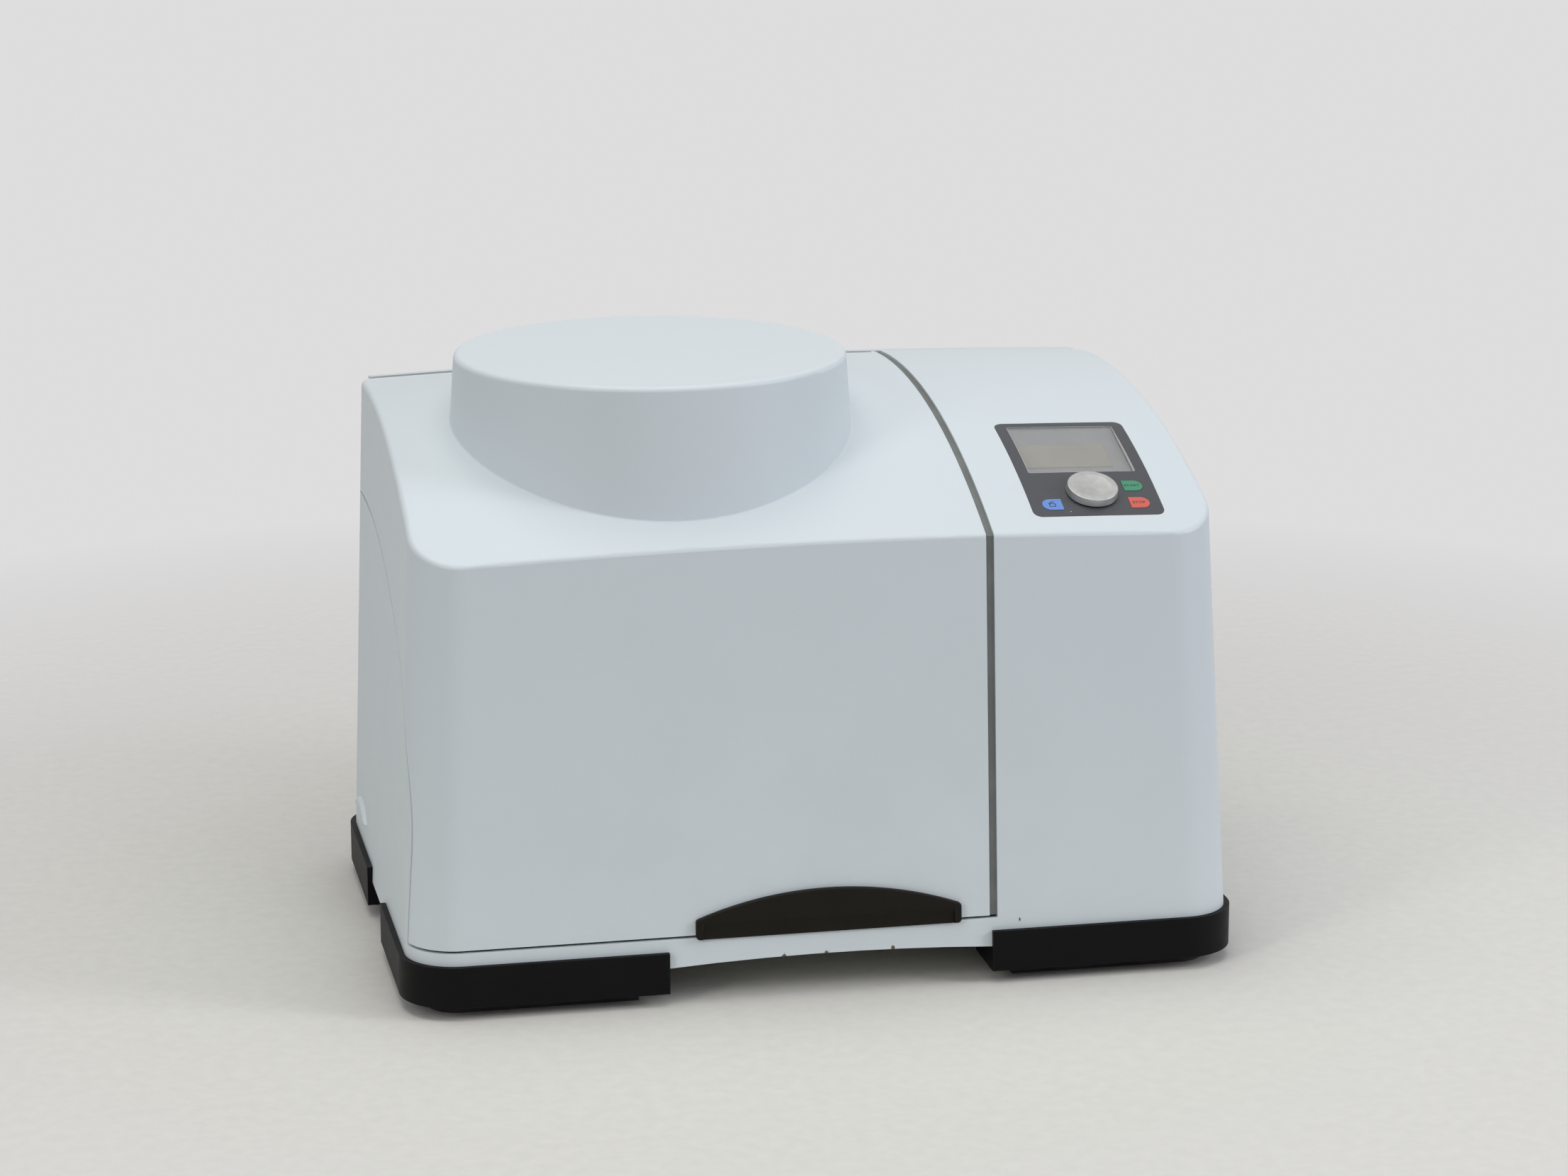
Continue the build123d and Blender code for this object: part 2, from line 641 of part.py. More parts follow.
KEY_PROUD = 0.3
KEY_TRAVEL = 0.5
KEY_SKIRT = 4.2              # the flange below the skirt keeps the key in its opening
for key_name, (right, down) in KEYS.items():
    with BuildPart() as key:
        add(key_form(right, down, -KEY_SKIRT, KEY_PROUD, 0))
        add(key_form(right, down, -SWITCH_DEPTH + KEY_TRAVEL + 0.1, -KEY_SKIRT, KEY_FLANGE))
    keep(key_name, key.part)

# --------------------------------------------------------------------------
# Base: plate, corner feet and rubber soles
# --------------------------------------------------------------------------
def foot_corner(sign_x, sign_y, z_low, z_high):
    """The block of space that one L-shaped foot may fill."""
    xs = sorted((sign_x * FOOT_FRONT_END, sign_x * FAR))
    ys = sorted((sign_y * FOOT_SIDE_END, sign_y * FAR))
    return slab(xs[0], xs[1], ys[0], ys[1], z_low, z_high)


def rounded_plan(inset, radius, z_low, z_high):
    """The feet's outer plan drawn in by inset."""
    with BuildPart() as plan:
        with BuildSketch(Plane.XY.offset(z_low)):
            RectangleRounded(WIDTH - 2 * inset, DEPTH - 2 * inset, radius)
        extrude(amount=z_high - z_low)
    return plan.part


CORNERS = ((-1, -1), (1, -1), (-1, 1), (1, 1))
BAND_CORNER = 4.0
housing_shadow = FOOT_PROUD + WALL + FIT      # the housing wall's inner face, from the foot's face
foot_ring = rounded_plan(0, FOOT_RADIUS, SOLE_HEIGHT, FOOT_TOP)
foot_ring -= housing_block(-FIT, HOUSING_BOTTOM - FIT)
foot_ring -= rounded_plan(FOOT_BAND, BAND_CORNER, 0, FAR)
foot_pad = rounded_plan(housing_shadow, PLAN_RADIUS - WALL, HOUSING_BOTTOM - 1, BASE_PLATE_Z)
foot_pad -= rounded_plan(FOOT_BAND, BAND_CORNER, 0, FAR)
feet = []
soles = []
for sign_x, sign_y in CORNERS:
    foot = (foot_ring + foot_pad) & foot_corner(sign_x, sign_y, 0, FAR)
    sole = rounded_plan(SOLE_INSET, FOOT_RADIUS - SOLE_INSET, 0, SOLE_HEIGHT)
    sole -= rounded_plan(SOLE_INSET + SOLE_BAND, BAND_CORNER, 0, FAR)
    sole_space = foot_corner(sign_x, sign_y, 0, FAR).moved(
        Location((sign_x * SOLE_INSET, sign_y * SOLE_INSET, 0))
    )
    feet.append(foot)
    soles.append(sole & sole_space)
keep("corner_feet", Compound(children=feet))
keep("foot_soles", Compound(children=soles))

plate_outline = housing_block(WALL + FIT, BASE_PLATE_Z) & slab(
    -FAR, FAR, -FAR, FAR, BASE_PLATE_Z, BASE_PLATE_Z + BASE_PLATE
)
with BuildPart() as base_plate:
    add(plate_outline)
    # cooling slots under the motor
    with BuildSketch(Plane.XY.offset(BASE_PLATE_Z)):
        with Locations(MOTOR):
            with GridLocations(12.0, 0, 7, 1):
                SlotOverall(80.0, 5.0, rotation=90)
    extrude(amount=BASE_PLATE, mode=Mode.SUBTRACT)
keep("base_plate", base_plate.part)

# --------------------------------------------------------------------------
# Rear cover: a folded sheet pan that closes lid groove, housing and tower from behind
# --------------------------------------------------------------------------
def rear_form(inset, bottom):
    """The rear cover's outer form, drawn in by inset."""
    setback = DEPTH / 2 - FOOT_PROUD - PLAN_RADIUS
    narrowing = PLAN_RADIUS - sqrt(PLAN_RADIUS**2 - (REAR_CUT_Y - setback) ** 2)
    with BuildPart() as form:
        for level in (bottom, DOME_TOP):
            with BuildSketch(Plane.XY.offset(level)):
                with Locations((0, (REAR_CUT_Y + REAR_FACE_Y - inset) / 2)):
                    Rectangle(
                        2 * (half_width(level, inset) - narrowing), REAR_FACE_Y - inset - REAR_CUT_Y
                    )
        loft(ruled=True)
        add(under_top(inset), mode=Mode.INTERSECT)
    return form.part


INLET_X = WIDTH / 2 - 79.0
INLET_Z = 92.0
INLET_WIDE = 48.0
INLET_HIGH = 28.0
SWITCH_X = INLET_X - 46.0
SWITCH_WIDE = 27.0
SWITCH_HIGH = 21.0
FAN_X = MOTOR_X
FAN_Z = 236.0
FAN_RADIUS = 43.0
VENT_SLOT = 46.0
VENT_PITCH = 9.0
GRILLE_RINGS = 4
GRILLE_SLOT = 5.0
GRILLE_SPOKE = 6.0
VENT_WIDE = 4.0
VENT_Z = 120.0
VENT_ROWS = 7
VENT_COLUMNS = 4
REAR_FOLD = 1.8
rear_cut_plane = Plane.XZ.offset(-REAR_FACE_Y - REAR_SHEET)
with BuildPart() as rear_openings:
    with BuildSketch(rear_cut_plane):
        # ring slots over the cooling fan, with four spokes left standing
        with Locations((FAN_X, FAN_Z)):
            for ring in range(GRILLE_RINGS, 0, -1):
                outer = FAN_RADIUS * ring / GRILLE_RINGS
                Circle(outer)
                Circle(outer - GRILLE_SLOT, mode=Mode.SUBTRACT)
            Rectangle(2 * FAN_RADIUS, GRILLE_SPOKE, rotation=45, mode=Mode.SUBTRACT)
            Rectangle(2 * FAN_RADIUS, GRILLE_SPOKE, rotation=-45, mode=Mode.SUBTRACT)
        with Locations((INLET_X, INLET_Z)):
            Rectangle(INLET_WIDE + FIT, INLET_HIGH + FIT)
        with Locations((SWITCH_X, INLET_Z)):
            Rectangle(SWITCH_WIDE + FIT, SWITCH_HIGH + FIT)
        # air slots into the space behind the chamber
        with Locations((DOME_X, VENT_Z)):
            with GridLocations(VENT_SLOT + 4 * VENT_WIDE, VENT_PITCH, VENT_COLUMNS, VENT_ROWS):
                Rectangle(VENT_SLOT, VENT_WIDE)
    extrude(amount=3 * REAR_SHEET)
with BuildPart() as rear_cover:
    add(rear_form(0.0, REAR_STRIP_Z + FIT))
    fillet(rear_cover.faces().sort_by(Axis.Y)[-1].edges(), REAR_FOLD)
    add(rear_form(REAR_SHEET, REAR_STRIP_Z + FIT + REAR_SHEET), mode=Mode.SUBTRACT)
    add(rear_openings.part, mode=Mode.SUBTRACT)
keep("rear_cover", rear_cover.part)

# --------------------------------------------------------------------------
# Hinge: two barrels in the groove between lid and rear cover
# --------------------------------------------------------------------------
beam_left = -half_width(HINGE_Z) + 4 * WALL
beam_top = HINGE_Z - KNUCKLE_RADIUS - FIT
with BuildPart() as beam_bar:
    with BuildSketch(Plane.YZ.offset(beam_left)):
        with BuildLine():
            Polyline(
                (REAR_FACE_Y - REAR_SHEET, HINGE_BEAM_Z),
                (REAR_FACE_Y - REAR_SHEET, beam_top),
                (REAR_CUT_Y + LEAF, beam_top),
                (REAR_CUT_Y + LEAF, beam_top - 4),
                (REAR_FACE_Y - REAR_SHEET - 4, beam_top - 8),
                (REAR_FACE_Y - REAR_SHEET - 4, HINGE_BEAM_Z),
                close=True,
            )
        make_face()
    extrude(amount=TOWER_X - WALL - beam_left)


def barrel(x_low, x_high, radius):
    """A round body along the hinge axis."""
    with BuildPart() as body:
        with BuildSketch(Plane.YZ.offset(x_low)):
            with Locations((HINGE_Y, HINGE_Z)):
                Circle(radius)
        extrude(amount=x_high - x_low)
    return body.part


fixed_leaves = []
lid_leaves = []
pins = []
for middle in HINGE_XS:
    step = KNUCKLE + KNUCKLE_PLAY
    fixed = None
    for side in (-1, 1):
        low = middle + side * step - KNUCKLE / 2
        part = barrel(low, low + KNUCKLE, KNUCKLE_RADIUS)
        part += slab(low, low + KNUCKLE, HINGE_Y, REAR_CUT_Y, HINGE_Z - KNUCKLE_RADIUS, HINGE_Z)
        fixed = part if fixed is None else fixed + part
    span = step + KNUCKLE / 2
    fixed += slab(
        middle - span, middle + span, REAR_CUT_Y - LEAF, REAR_CUT_Y + LEAF, beam_top, HINGE_Z
    )
    fixed += slab(
        middle - span,
        middle + span,
        REAR_CUT_Y + LEAF,
        REAR_FACE_Y - REAR_SHEET - FIT,
        beam_top,
        HINGE_Z - BEAM_DROP,
    )
    fixed -= slab(
        middle - KNUCKLE / 2 - KNUCKLE_PLAY,
        middle + KNUCKLE / 2 + KNUCKLE_PLAY,
        0,
        HINGE_Y + KNUCKLE_RADIUS + KNUCKLE_AIR,
        0,
        FAR,
    )
    fixed -= barrel(-FAR, FAR, HINGE_PIN_RADIUS)
    fixed_leaves.append(fixed)
    leaf = slab(
        middle - span, middle + span, LID_REAR_EDGE_Y - LEAF_LONG, LID_REAR_EDGE_Y, HINGE_Z - 3, FAR
    ) & inner_block
    neck = slab(
        middle - KNUCKLE / 2, middle + KNUCKLE / 2, LID_REAR_EDGE_Y - 2, HINGE_Y, HINGE_Z - 3, HINGE_Z + 1
    )
    moving = leaf + neck + barrel(middle - KNUCKLE / 2, middle + KNUCKLE / 2, KNUCKLE_RADIUS)
    moving -= barrel(-FAR, FAR, HINGE_PIN_RADIUS + PIN_FIT)
    lid_leaves.append(moving)
    pins.append(barrel(middle - span - 1, middle + span + 1, HINGE_PIN_RADIUS))
with BuildPart() as hinge_beam:
    add(beam_bar.part)
    for fixed in fixed_leaves:
        add(fixed)
keep("hinge_beam", hinge_beam.part)
keep("hinge_lid_leaves", Compound(children=lid_leaves))
keep("hinge_pins", Compound(children=pins))

# --------------------------------------------------------------------------
# Chamber housing: the deck under the lid and the round tub that the sun wheel turns in
# --------------------------------------------------------------------------
nose = nose_centre()
skirt_y = nose[0] - SEAM_NOSE_RADIUS + DECK_DROP
deck_level = SEAM_REAR_Z - DECK_DROP
lip = REAR_STRIP_Z
# tub wall and floor, cut off along the rim plane
tub = disc(SUN, CHAMBER_RADIUS + CHAMBER_WALL, CHAMBER_FLOOR_Z - CHAMBER_WALL, FAR)
tub -= disc(SUN, CHAMBER_RADIUS, CHAMBER_FLOOR_Z, FAR)
tub -= disc(SUN, HUB_RADIUS + FIT, 0, FAR)
tub = split(tub, bisect_by=rim_plane(0), keep=Keep.BOTTOM)
with BuildPart() as chamber:
    with BuildSketch(Plane.YZ.offset(-FAR)):
        with BuildLine():
            Polyline(
                (DECK_SHELF_Y, DECK_REAR_TOP),
                (DECK_REAR_Y, DECK_REAR_TOP),
                (DECK_REAR_Y, deck_level),
                (SEAM_FLAT_Y, deck_level),
            )
            seam_arcs(DECK_DROP)
            Polyline(
                (skirt_y, nose[1]),
                (skirt_y, lip),
                (-FAR, lip),
                (-FAR, lip - DECK_SHEET),
                (skirt_y + DECK_SHEET, lip - DECK_SHEET),
                (skirt_y + DECK_SHEET, nose[1]),
            )
            seam_arcs(DECK_DROP + DECK_SHEET)
            Polyline(
                (SEAM_FLAT_Y, deck_level - DECK_SHEET),
                (DECK_REAR_Y + DECK_SHEET, deck_level - DECK_SHEET),
                (DECK_REAR_Y + DECK_SHEET, DECK_REAR_TOP - DECK_SHEET),
                (DECK_SHELF_Y, DECK_REAR_TOP - DECK_SHEET),
                (DECK_SHELF_Y, DECK_REAR_TOP),
            )
        make_face()
    extrude(amount=2 * FAR)
    add(seat_block & slab(-FAR, TOWER_X - FIT, -FAR, FAR, 0, FAR), mode=Mode.INTERSECT)
    # the rear wall keeps clear of the lid's cheek and flange
    for low, high in ((-FAR, beam_left), (LID_RIGHT - WALL - 2, FAR)):
        add(slab(low, high, SEAM_FLAT_Y, FAR, deck_level + FIT, FAR), mode=Mode.SUBTRACT)
    add(disc(SUN, CHAMBER_RADIUS + CHAMBER_WALL / 2, 0, FAR), mode=Mode.SUBTRACT)
    add(tub)
keep("chamber_housing", chamber.part)

ring_out = CHAMBER_RADIUS + CHAMBER_WALL + GASKET_SIDE
ring_in = CHAMBER_RADIUS - GASKET_SIDE
gasket = disc(SUN, ring_out, CHAMBER_FLOOR_Z, FAR) - disc(SUN, ring_in, 0, FAR)
gasket = split(gasket, bisect_by=rim_plane(GASKET_HEIGHT), keep=Keep.BOTTOM)
gasket = split(gasket, bisect_by=rim_plane(-GASKET_GRIP), keep=Keep.TOP)
gasket -= chamber.part
gasket = gasket.solids().sort_by(SortBy.VOLUME)[-1]
keep("chamber_gasket", gasket)

sleeve_mid = CHAMBER_RADIUS + CHAMBER_WALL / 2
sleeve = disc(SUN, sleeve_mid + SLEEVE / 2, CHAMBER_FLOOR_Z, FAR)
sleeve -= disc(SUN, sleeve_mid - SLEEVE / 2, 0, FAR)
sleeve = split(sleeve, bisect_by=rim_plane(GASKET_HEIGHT + FIT), keep=Keep.TOP)
sleeve &= inner_block
keep("lid_sleeve", sleeve)

# strip that closes the groove between lid and tower, on the tower's inner wall
STRIP_RECESS = 1.6
STRIP_DEPTH = 14.0
strip_low = LID_RIGHT + 0.6
strip = housing_block(STRIP_RECESS, HOUSING_BOTTOM) - housing_block(STRIP_DEPTH, HOUSING_BOTTOM - 5)
strip &= slab(strip_low, TOWER_X, -FAR, LID_REAR_EDGE_Y + 10, SEAM_FRONT_Z, FAR)
strip &= above_seam(0.0, -FAR, FAR)
keep("groove_strip", strip)

# --------------------------------------------------------------------------
# Lid fittings: handle, lock striker; lock body and bolt on the chamber's skirt
# --------------------------------------------------------------------------
HANDLE_CORNER = 3.0
HANDLE_EDGE = 1.4
GRIP_RADIUS = 26.0           # finger hollow along the handle's lower half
GRIP_DEPTH = 2.6
GRIP_SHORT = 5.0
front_tilt = atan2(FRONT_LEAN, 1.0)
handle_seat = Plane(
    origin=(0, front_y(HANDLE_LOW_Z), HANDLE_LOW_Z),
    x_dir=(1, 0, 0),
    z_dir=(0, -cos(front_tilt), sin(front_tilt)),
)
handle_left = HANDLE_X - HANDLE_HALF
handle_right = HANDLE_X + HANDLE_HALF
with BuildPart() as handle:
    with BuildSketch(handle_seat):
        with BuildLine():
            ThreePointArc(
                (handle_left, HANDLE_END_Z - HANDLE_LOW_Z),
                (HANDLE_X, HANDLE_TOP_Z - HANDLE_LOW_Z),
                (handle_right, HANDLE_END_Z - HANDLE_LOW_Z),
            )
            Polyline(
                (handle_right, HANDLE_END_Z - HANDLE_LOW_Z),
                (handle_right, 0),
                (handle_left, 0),
                (handle_left, HANDLE_END_Z - HANDLE_LOW_Z),
            )
        make_face()
    extrude(amount=HANDLE_PROUD)
    fillet(handle.edges().filter_by(lambda edge: abs(edge.center().X - HANDLE_X) > HANDLE_HALF - 1
           and edge.length < HANDLE_PROUD + 1), HANDLE_CORNER)
    fillet(handle.faces().sort_by(Axis.Y)[0].edges(), HANDLE_EDGE)
    with BuildSketch(Plane.YZ.offset(handle_left + GRIP_SHORT)):
        with Locations((front_y(HANDLE_LOW_Z) - HANDLE_PROUD - GRIP_RADIUS + GRIP_DEPTH, HANDLE_LOW_Z + 4)):
            Circle(GRIP_RADIUS)
    extrude(amount=2 * HANDLE_HALF - 2 * GRIP_SHORT, mode=Mode.SUBTRACT)
keep("lid_handle", handle.part)

TONGUE = 8.0
TONGUE_HIGH = 16.0
BOLT_BEHIND = 17.1           # the bolt, behind the lid's front
BOLT_Y = front_y(LOCK_Z) + BOLT_BEHIND
TONGUE_END_Y = BOLT_Y + 6.0
with BuildPart() as striker:
    tongue_low = LOCK_Z - TONGUE_HIGH / 2
    tongue_left = LOCK_X - TONGUE / 2
    add(slab(tongue_left, tongue_left + TONGUE, -FAR, TONGUE_END_Y, tongue_low, tongue_low + TONGUE_HIGH))
    root_low, root_high = LOCK_Z - TONGUE_HIGH, LOCK_Z + TONGUE_HIGH
    add(slab(LOCK_X - 2 * TONGUE, LOCK_X + 2 * TONGUE, -FAR, BOLT_Y - 2 * BOLT_RADIUS, root_low, root_high))
    add(inner_block, mode=Mode.INTERSECT)
    with BuildSketch(Plane.YZ.offset(LOCK_X - TONGUE)):
        with Locations((BOLT_Y, LOCK_Z)):
            Circle(BOLT_RADIUS + FIT + PIN_FIT)
    extrude(amount=2 * TONGUE, mode=Mode.SUBTRACT)
keep("lock_striker", striker.part)

LOCK_LEFT = 8.0
LOCK_LONG = 46.0
LOCK_DEEP = 23.0
LOCK_HIGH = 28.0
with BuildPart() as lock_body:
    lock_low = LOCK_Z - LOCK_HIGH / 2
    add(slab(LOCK_LEFT, LOCK_LEFT + LOCK_LONG, skirt_y - LOCK_DEEP, skirt_y, lock_low, lock_low + LOCK_HIGH))
    fillet(lock_body.edges().filter_by(Axis.X), 2.0)
    with BuildSketch(Plane.YZ.offset(LOCK_LEFT)):
        with Locations((BOLT_Y, LOCK_Z)):
            Circle(BOLT_RADIUS + PIN_FIT)
    extrude(amount=LOCK_LONG, mode=Mode.SUBTRACT)
    with BuildSketch(Plane.YZ.offset(LOCK_LEFT + LOCK_LONG / 2)):
        with Locations((BOLT_Y, LOCK_Z)):
            Rectangle(3 * BOLT_RADIUS, 3 * BOLT_RADIUS)
    extrude(amount=LOCK_LONG / 4, mode=Mode.SUBTRACT)
keep("lock_housing", lock_body.part)
with BuildPart() as bolt:
    with BuildSketch(Plane.YZ.offset(LOCK_X + TONGUE / 2 + 3)):
        with Locations((BOLT_Y, LOCK_Z)):
            Circle(BOLT_RADIUS)
    extrude(amount=LOCK_LONG - BOLT_TRAVEL / 2)
    chamfer(bolt.edges().sort_by(Axis.X)[0], 1.0)
keep("lock_bolt", bolt.part)

# --------------------------------------------------------------------------
# Drive: bearing block, sun shaft, belts, motor
# --------------------------------------------------------------------------
BEARING_LEVELS = (84.0, 119.0)
BEARING_SEAT = 0.02          # radial gap of a bearing in its seat
BEARING_SHOULDER = 22.0
HUB_TOP = PLANET_DRIVE_Z
SPIGOT_TOP = 137.0
hub_seat = SUN_BEARING_RADIUS + BEARING_SEAT
low_top = BEARING_LEVELS[0] + SUN_BEARING_WIDTH
flange_top = FLANGE_Z + FLANGE
SCREW_CORE = 3.0
SCREW_HEAD = 5.0
SCREW_HEAD_HIGH = 5.0


def cap_screw(seat, core, head, head_high, length):
    """A cap screw standing on seat: head above, shank below, with a hexagon socket."""
    with BuildPart() as screw:
        with BuildSketch(seat):
            Circle(head)
        extrude(amount=head_high)
        with BuildSketch(seat):
            Circle(core)
        extrude(amount=-length)
        with BuildSketch(seat.offset(head_high / 2)):
            RegularPolygon(head / 2, 6)
        extrude(amount=head_high / 2, mode=Mode.SUBTRACT)
    return screw.part


def screw_holes(seats, core, length):
    """The holes for a set of screws."""
    with BuildPart() as holes:
        for seat in seats:
            with BuildSketch(seat.offset(-length)):
                Circle(core + BEARING_SEAT)
            extrude(amount=length)
    return holes.part


def ring_of_seats(centre, radius, z, angles):
    """Upward seats on a bolt circle."""
    return [
        Plane(origin=(centre[0] + radius * cos(radians(a)), centre[1] + radius * sin(radians(a)), z))
        for a in angles
    ]


quarters = (0, 90, 180, 270)
post_seats = ring_of_seats(SUN, POST_CIRCLE, FLANGE_Z + FLANGE - SCREW_HEAD_HIGH, quarters)
with BuildPart() as bearing_block:
    add(
        turned(
            SUN,
            [
                (hub_seat, HUB_BOTTOM),
                (HUB_RADIUS, HUB_BOTTOM),
                (HUB_RADIUS, FLANGE_Z),
                (FLANGE_RADIUS, FLANGE_Z),
                (FLANGE_RADIUS, flange_top),
                (HUB_RADIUS, flange_top),
                (HUB_RADIUS, HUB_TOP),
                (SPIGOT_RADIUS, HUB_TOP),
                (SPIGOT_RADIUS, SPIGOT_TOP),
                (hub_seat, SPIGOT_TOP),
                (hub_seat, BEARING_LEVELS[1]),
                (BEARING_SHOULDER, BEARING_LEVELS[1]),
                (BEARING_SHOULDER, low_top),
                (hub_seat, low_top),
            ],
        )
    )
    for seat in ring_of_seats(SUN, POST_CIRCLE, BASE_PLATE_Z + BASE_PLATE, quarters):
        with BuildSketch(seat):
            Circle(POST_RADIUS)
        extrude(amount=FLANGE_Z - BASE_PLATE_Z - BASE_PLATE)
    for seat in post_seats:
        with BuildSketch(seat):
            Circle(SCREW_HEAD + FIT)
        extrude(amount=SCREW_HEAD_HIGH, mode=Mode.SUBTRACT)
    add(screw_holes(post_seats, SCREW_CORE, FLANGE), mode=Mode.SUBTRACT)
    # eight webs between hub and flange
    with BuildSketch(Plane.XY.offset(HUB_BOTTOM + 4)):
        with Locations(SUN):
            with PolarLocations(HUB_RADIUS + 8, 8, start_angle=22.5):
                Rectangle(20, 5)
    extrude(amount=FLANGE_Z - HUB_BOTTOM - 4)
keep("bearing_block", bearing_block.part)
frame_screws = [cap_screw(seat, SCREW_CORE, SCREW_HEAD, SCREW_HEAD_HIGH, FLANGE) for seat in post_seats]


def bearing_ring(centre, bore, radius, z, width):
    """A shielded ball bearing: two races with a shield set back between them."""
    shield = 1.0
    race = (radius - bore) / 4
    return turned(
        centre,
        [
            (bore, z),
            (bore + race, z),
            (bore + race, z + shield),
            (radius - race, z + shield),
            (radius - race, z),
            (radius, z),
            (radius, z + width),
            (radius - race, z + width),
            (radius - race, z + width - shield),
            (bore + race, z + width - shield),
            (bore + race, z + width),
            (bore, z + width),
        ],
    )


keep(
    "sun_bearings",
    Compound(
        children=[
            bearing_ring(SUN, SHAFT_RADIUS + PIN_FIT, SUN_BEARING_RADIUS, z, SUN_BEARING_WIDTH)
            for z in BEARING_LEVELS
        ]
    ),
)

GROOVE_DEPTH = 1.6
HUB_WALL = 8.0
WEB = 6.0


def pulley(centre, bore, radius, z, width, web_low, web_high):
    """A grooved belt pulley; a web thinner than the rim joins rim and hub where there is room."""
    pitch = width / (GROOVES + 1)
    rim = [(radius, z)]
    for groove in range(GROOVES):
        middle = z + (groove + 1) * pitch
        rim += [
            (radius, middle - pitch / 3),
            (radius - GROOVE_DEPTH, middle),
            (radius, middle + pitch / 3),
        ]
    rim.append((radius, z + width))
    inner_rim = radius - HUB_WALL
    hub = bore + HUB_WALL
    if inner_rim - hub > HUB_WALL:
        outline = [(bore, z)] + [(hub, z), (hub, web_low), (inner_rim, web_low), (inner_rim, z)] + rim
        outline += [(inner_rim, z + width), (inner_rim, web_high), (hub, web_high), (hub, z + width)]
    else:
        outline = [(bore, z)] + rim
    return turned(centre, outline + [(bore, z + width)])


web_low = DRIVE_Z + WEB
web_high = DRIVE_Z + DRIVE_WIDTH - WEB
keep(
    "sun_pulley",
    pulley(SUN, SHAFT_RADIUS + BEARING_SEAT, SUN_PULLEY_RADIUS, DRIVE_Z, DRIVE_WIDTH, web_low, web_high),
)
keep(
    "motor_pulley",
    pulley(
        MOTOR, MOTOR_SHAFT_RADIUS + BEARING_SEAT, MOTOR_PULLEY_RADIUS, DRIVE_Z, DRIVE_WIDTH, web_low, web_high
    ),
)
planet_web_low = PLANET_DRIVE_Z + WEB / 2
planet_web_high = PLANET_DRIVE_Z + PLANET_DRIVE_WIDTH - WEB / 2
keep(
    "fixed_pulley",
    pulley(
        SUN,
        SPIGOT_RADIUS + BEARING_SEAT,
        FIXED_PULLEY_RADIUS,
        PLANET_DRIVE_Z,
        PLANET_DRIVE_WIDTH,
        planet_web_low,
        planet_web_high,
    ),
)
keep(
    "planet_pulley",
    pulley(
        PLANET,
        PLANET_SHAFT_RADIUS + BEARING_SEAT,
        PLANET_PULLEY_RADIUS,
        PLANET_DRIVE_Z,
        PLANET_DRIVE_WIDTH,
        planet_web_low,
        planet_web_high,
    ),
)


def belt_hull(first, first_radius, second, second_radius, grow, z_low, z_high):
    """The space inside a belt that runs round two pulleys, drawn out by grow."""
    with BuildPart() as hull:
        with BuildSketch(Plane.XY.offset(z_low)):
            with Locations(first):
                Circle(first_radius + grow)
            with Locations(second):
                Circle(second_radius + grow)
            make_hull()
        extrude(amount=z_high - z_low)
    return hull.part


def belt_loop(first, first_radius, second, second_radius, z_low, z_high):
    """A flat belt round two pulleys."""
    outside = belt_hull(first, first_radius, second, second_radius, BELT, z_low, z_high)
    return outside - belt_hull(first, first_radius, second, second_radius, BELT_CLEAR, z_low, z_high)


BELT_EDGE = 1.5
keep(
    "drive_belt",
    belt_loop(
        SUN,
        SUN_PULLEY_RADIUS,
        MOTOR,
        MOTOR_PULLEY_RADIUS,
        DRIVE_Z + BELT_EDGE,
        DRIVE_Z + DRIVE_WIDTH - BELT_EDGE,
    ),
)
keep(
    "planet_belt",
    belt_loop(
        SUN,
        FIXED_PULLEY_RADIUS,
        PLANET,
        PLANET_PULLEY_RADIUS,
        PLANET_DRIVE_Z + BELT_EDGE,
        PLANET_DRIVE_Z + PLANET_DRIVE_WIDTH - BELT_EDGE,
    ),
)

SHAFT_FOOT = 46.0
SUN_FLANGE_Z = 138.0
SUN_FLANGE_RADIUS = 30.0
SUN_SCREW_CIRCLE = 22.0
sun_screw_seats = ring_of_seats(SUN, SUN_SCREW_CIRCLE, SUN_DISC_Z + SUN_DISC, range(30, 360, 60))
with BuildPart() as sun_shaft:
    add(
        turned(
            SUN,
            [
                (0, SHAFT_FOOT),
                (SHAFT_RADIUS - 1, SHAFT_FOOT),
                (SHAFT_RADIUS, SHAFT_FOOT + 1),
                (SHAFT_RADIUS, SUN_FLANGE_Z),
                (SUN_FLANGE_RADIUS, SUN_FLANGE_Z),
                (SUN_FLANGE_RADIUS, SUN_DISC_Z),
                (0, SUN_DISC_Z),
            ],
        )
    )
    add(screw_holes(sun_screw_seats, SCREW_CORE, SUN_DISC + 6), mode=Mode.SUBTRACT)
keep("sun_shaft", sun_shaft.part)
wheel_screws = [
    cap_screw(seat, SCREW_CORE, SCREW_HEAD, SCREW_HEAD_HIGH, SUN_DISC + 5) for seat in sun_screw_seats
]

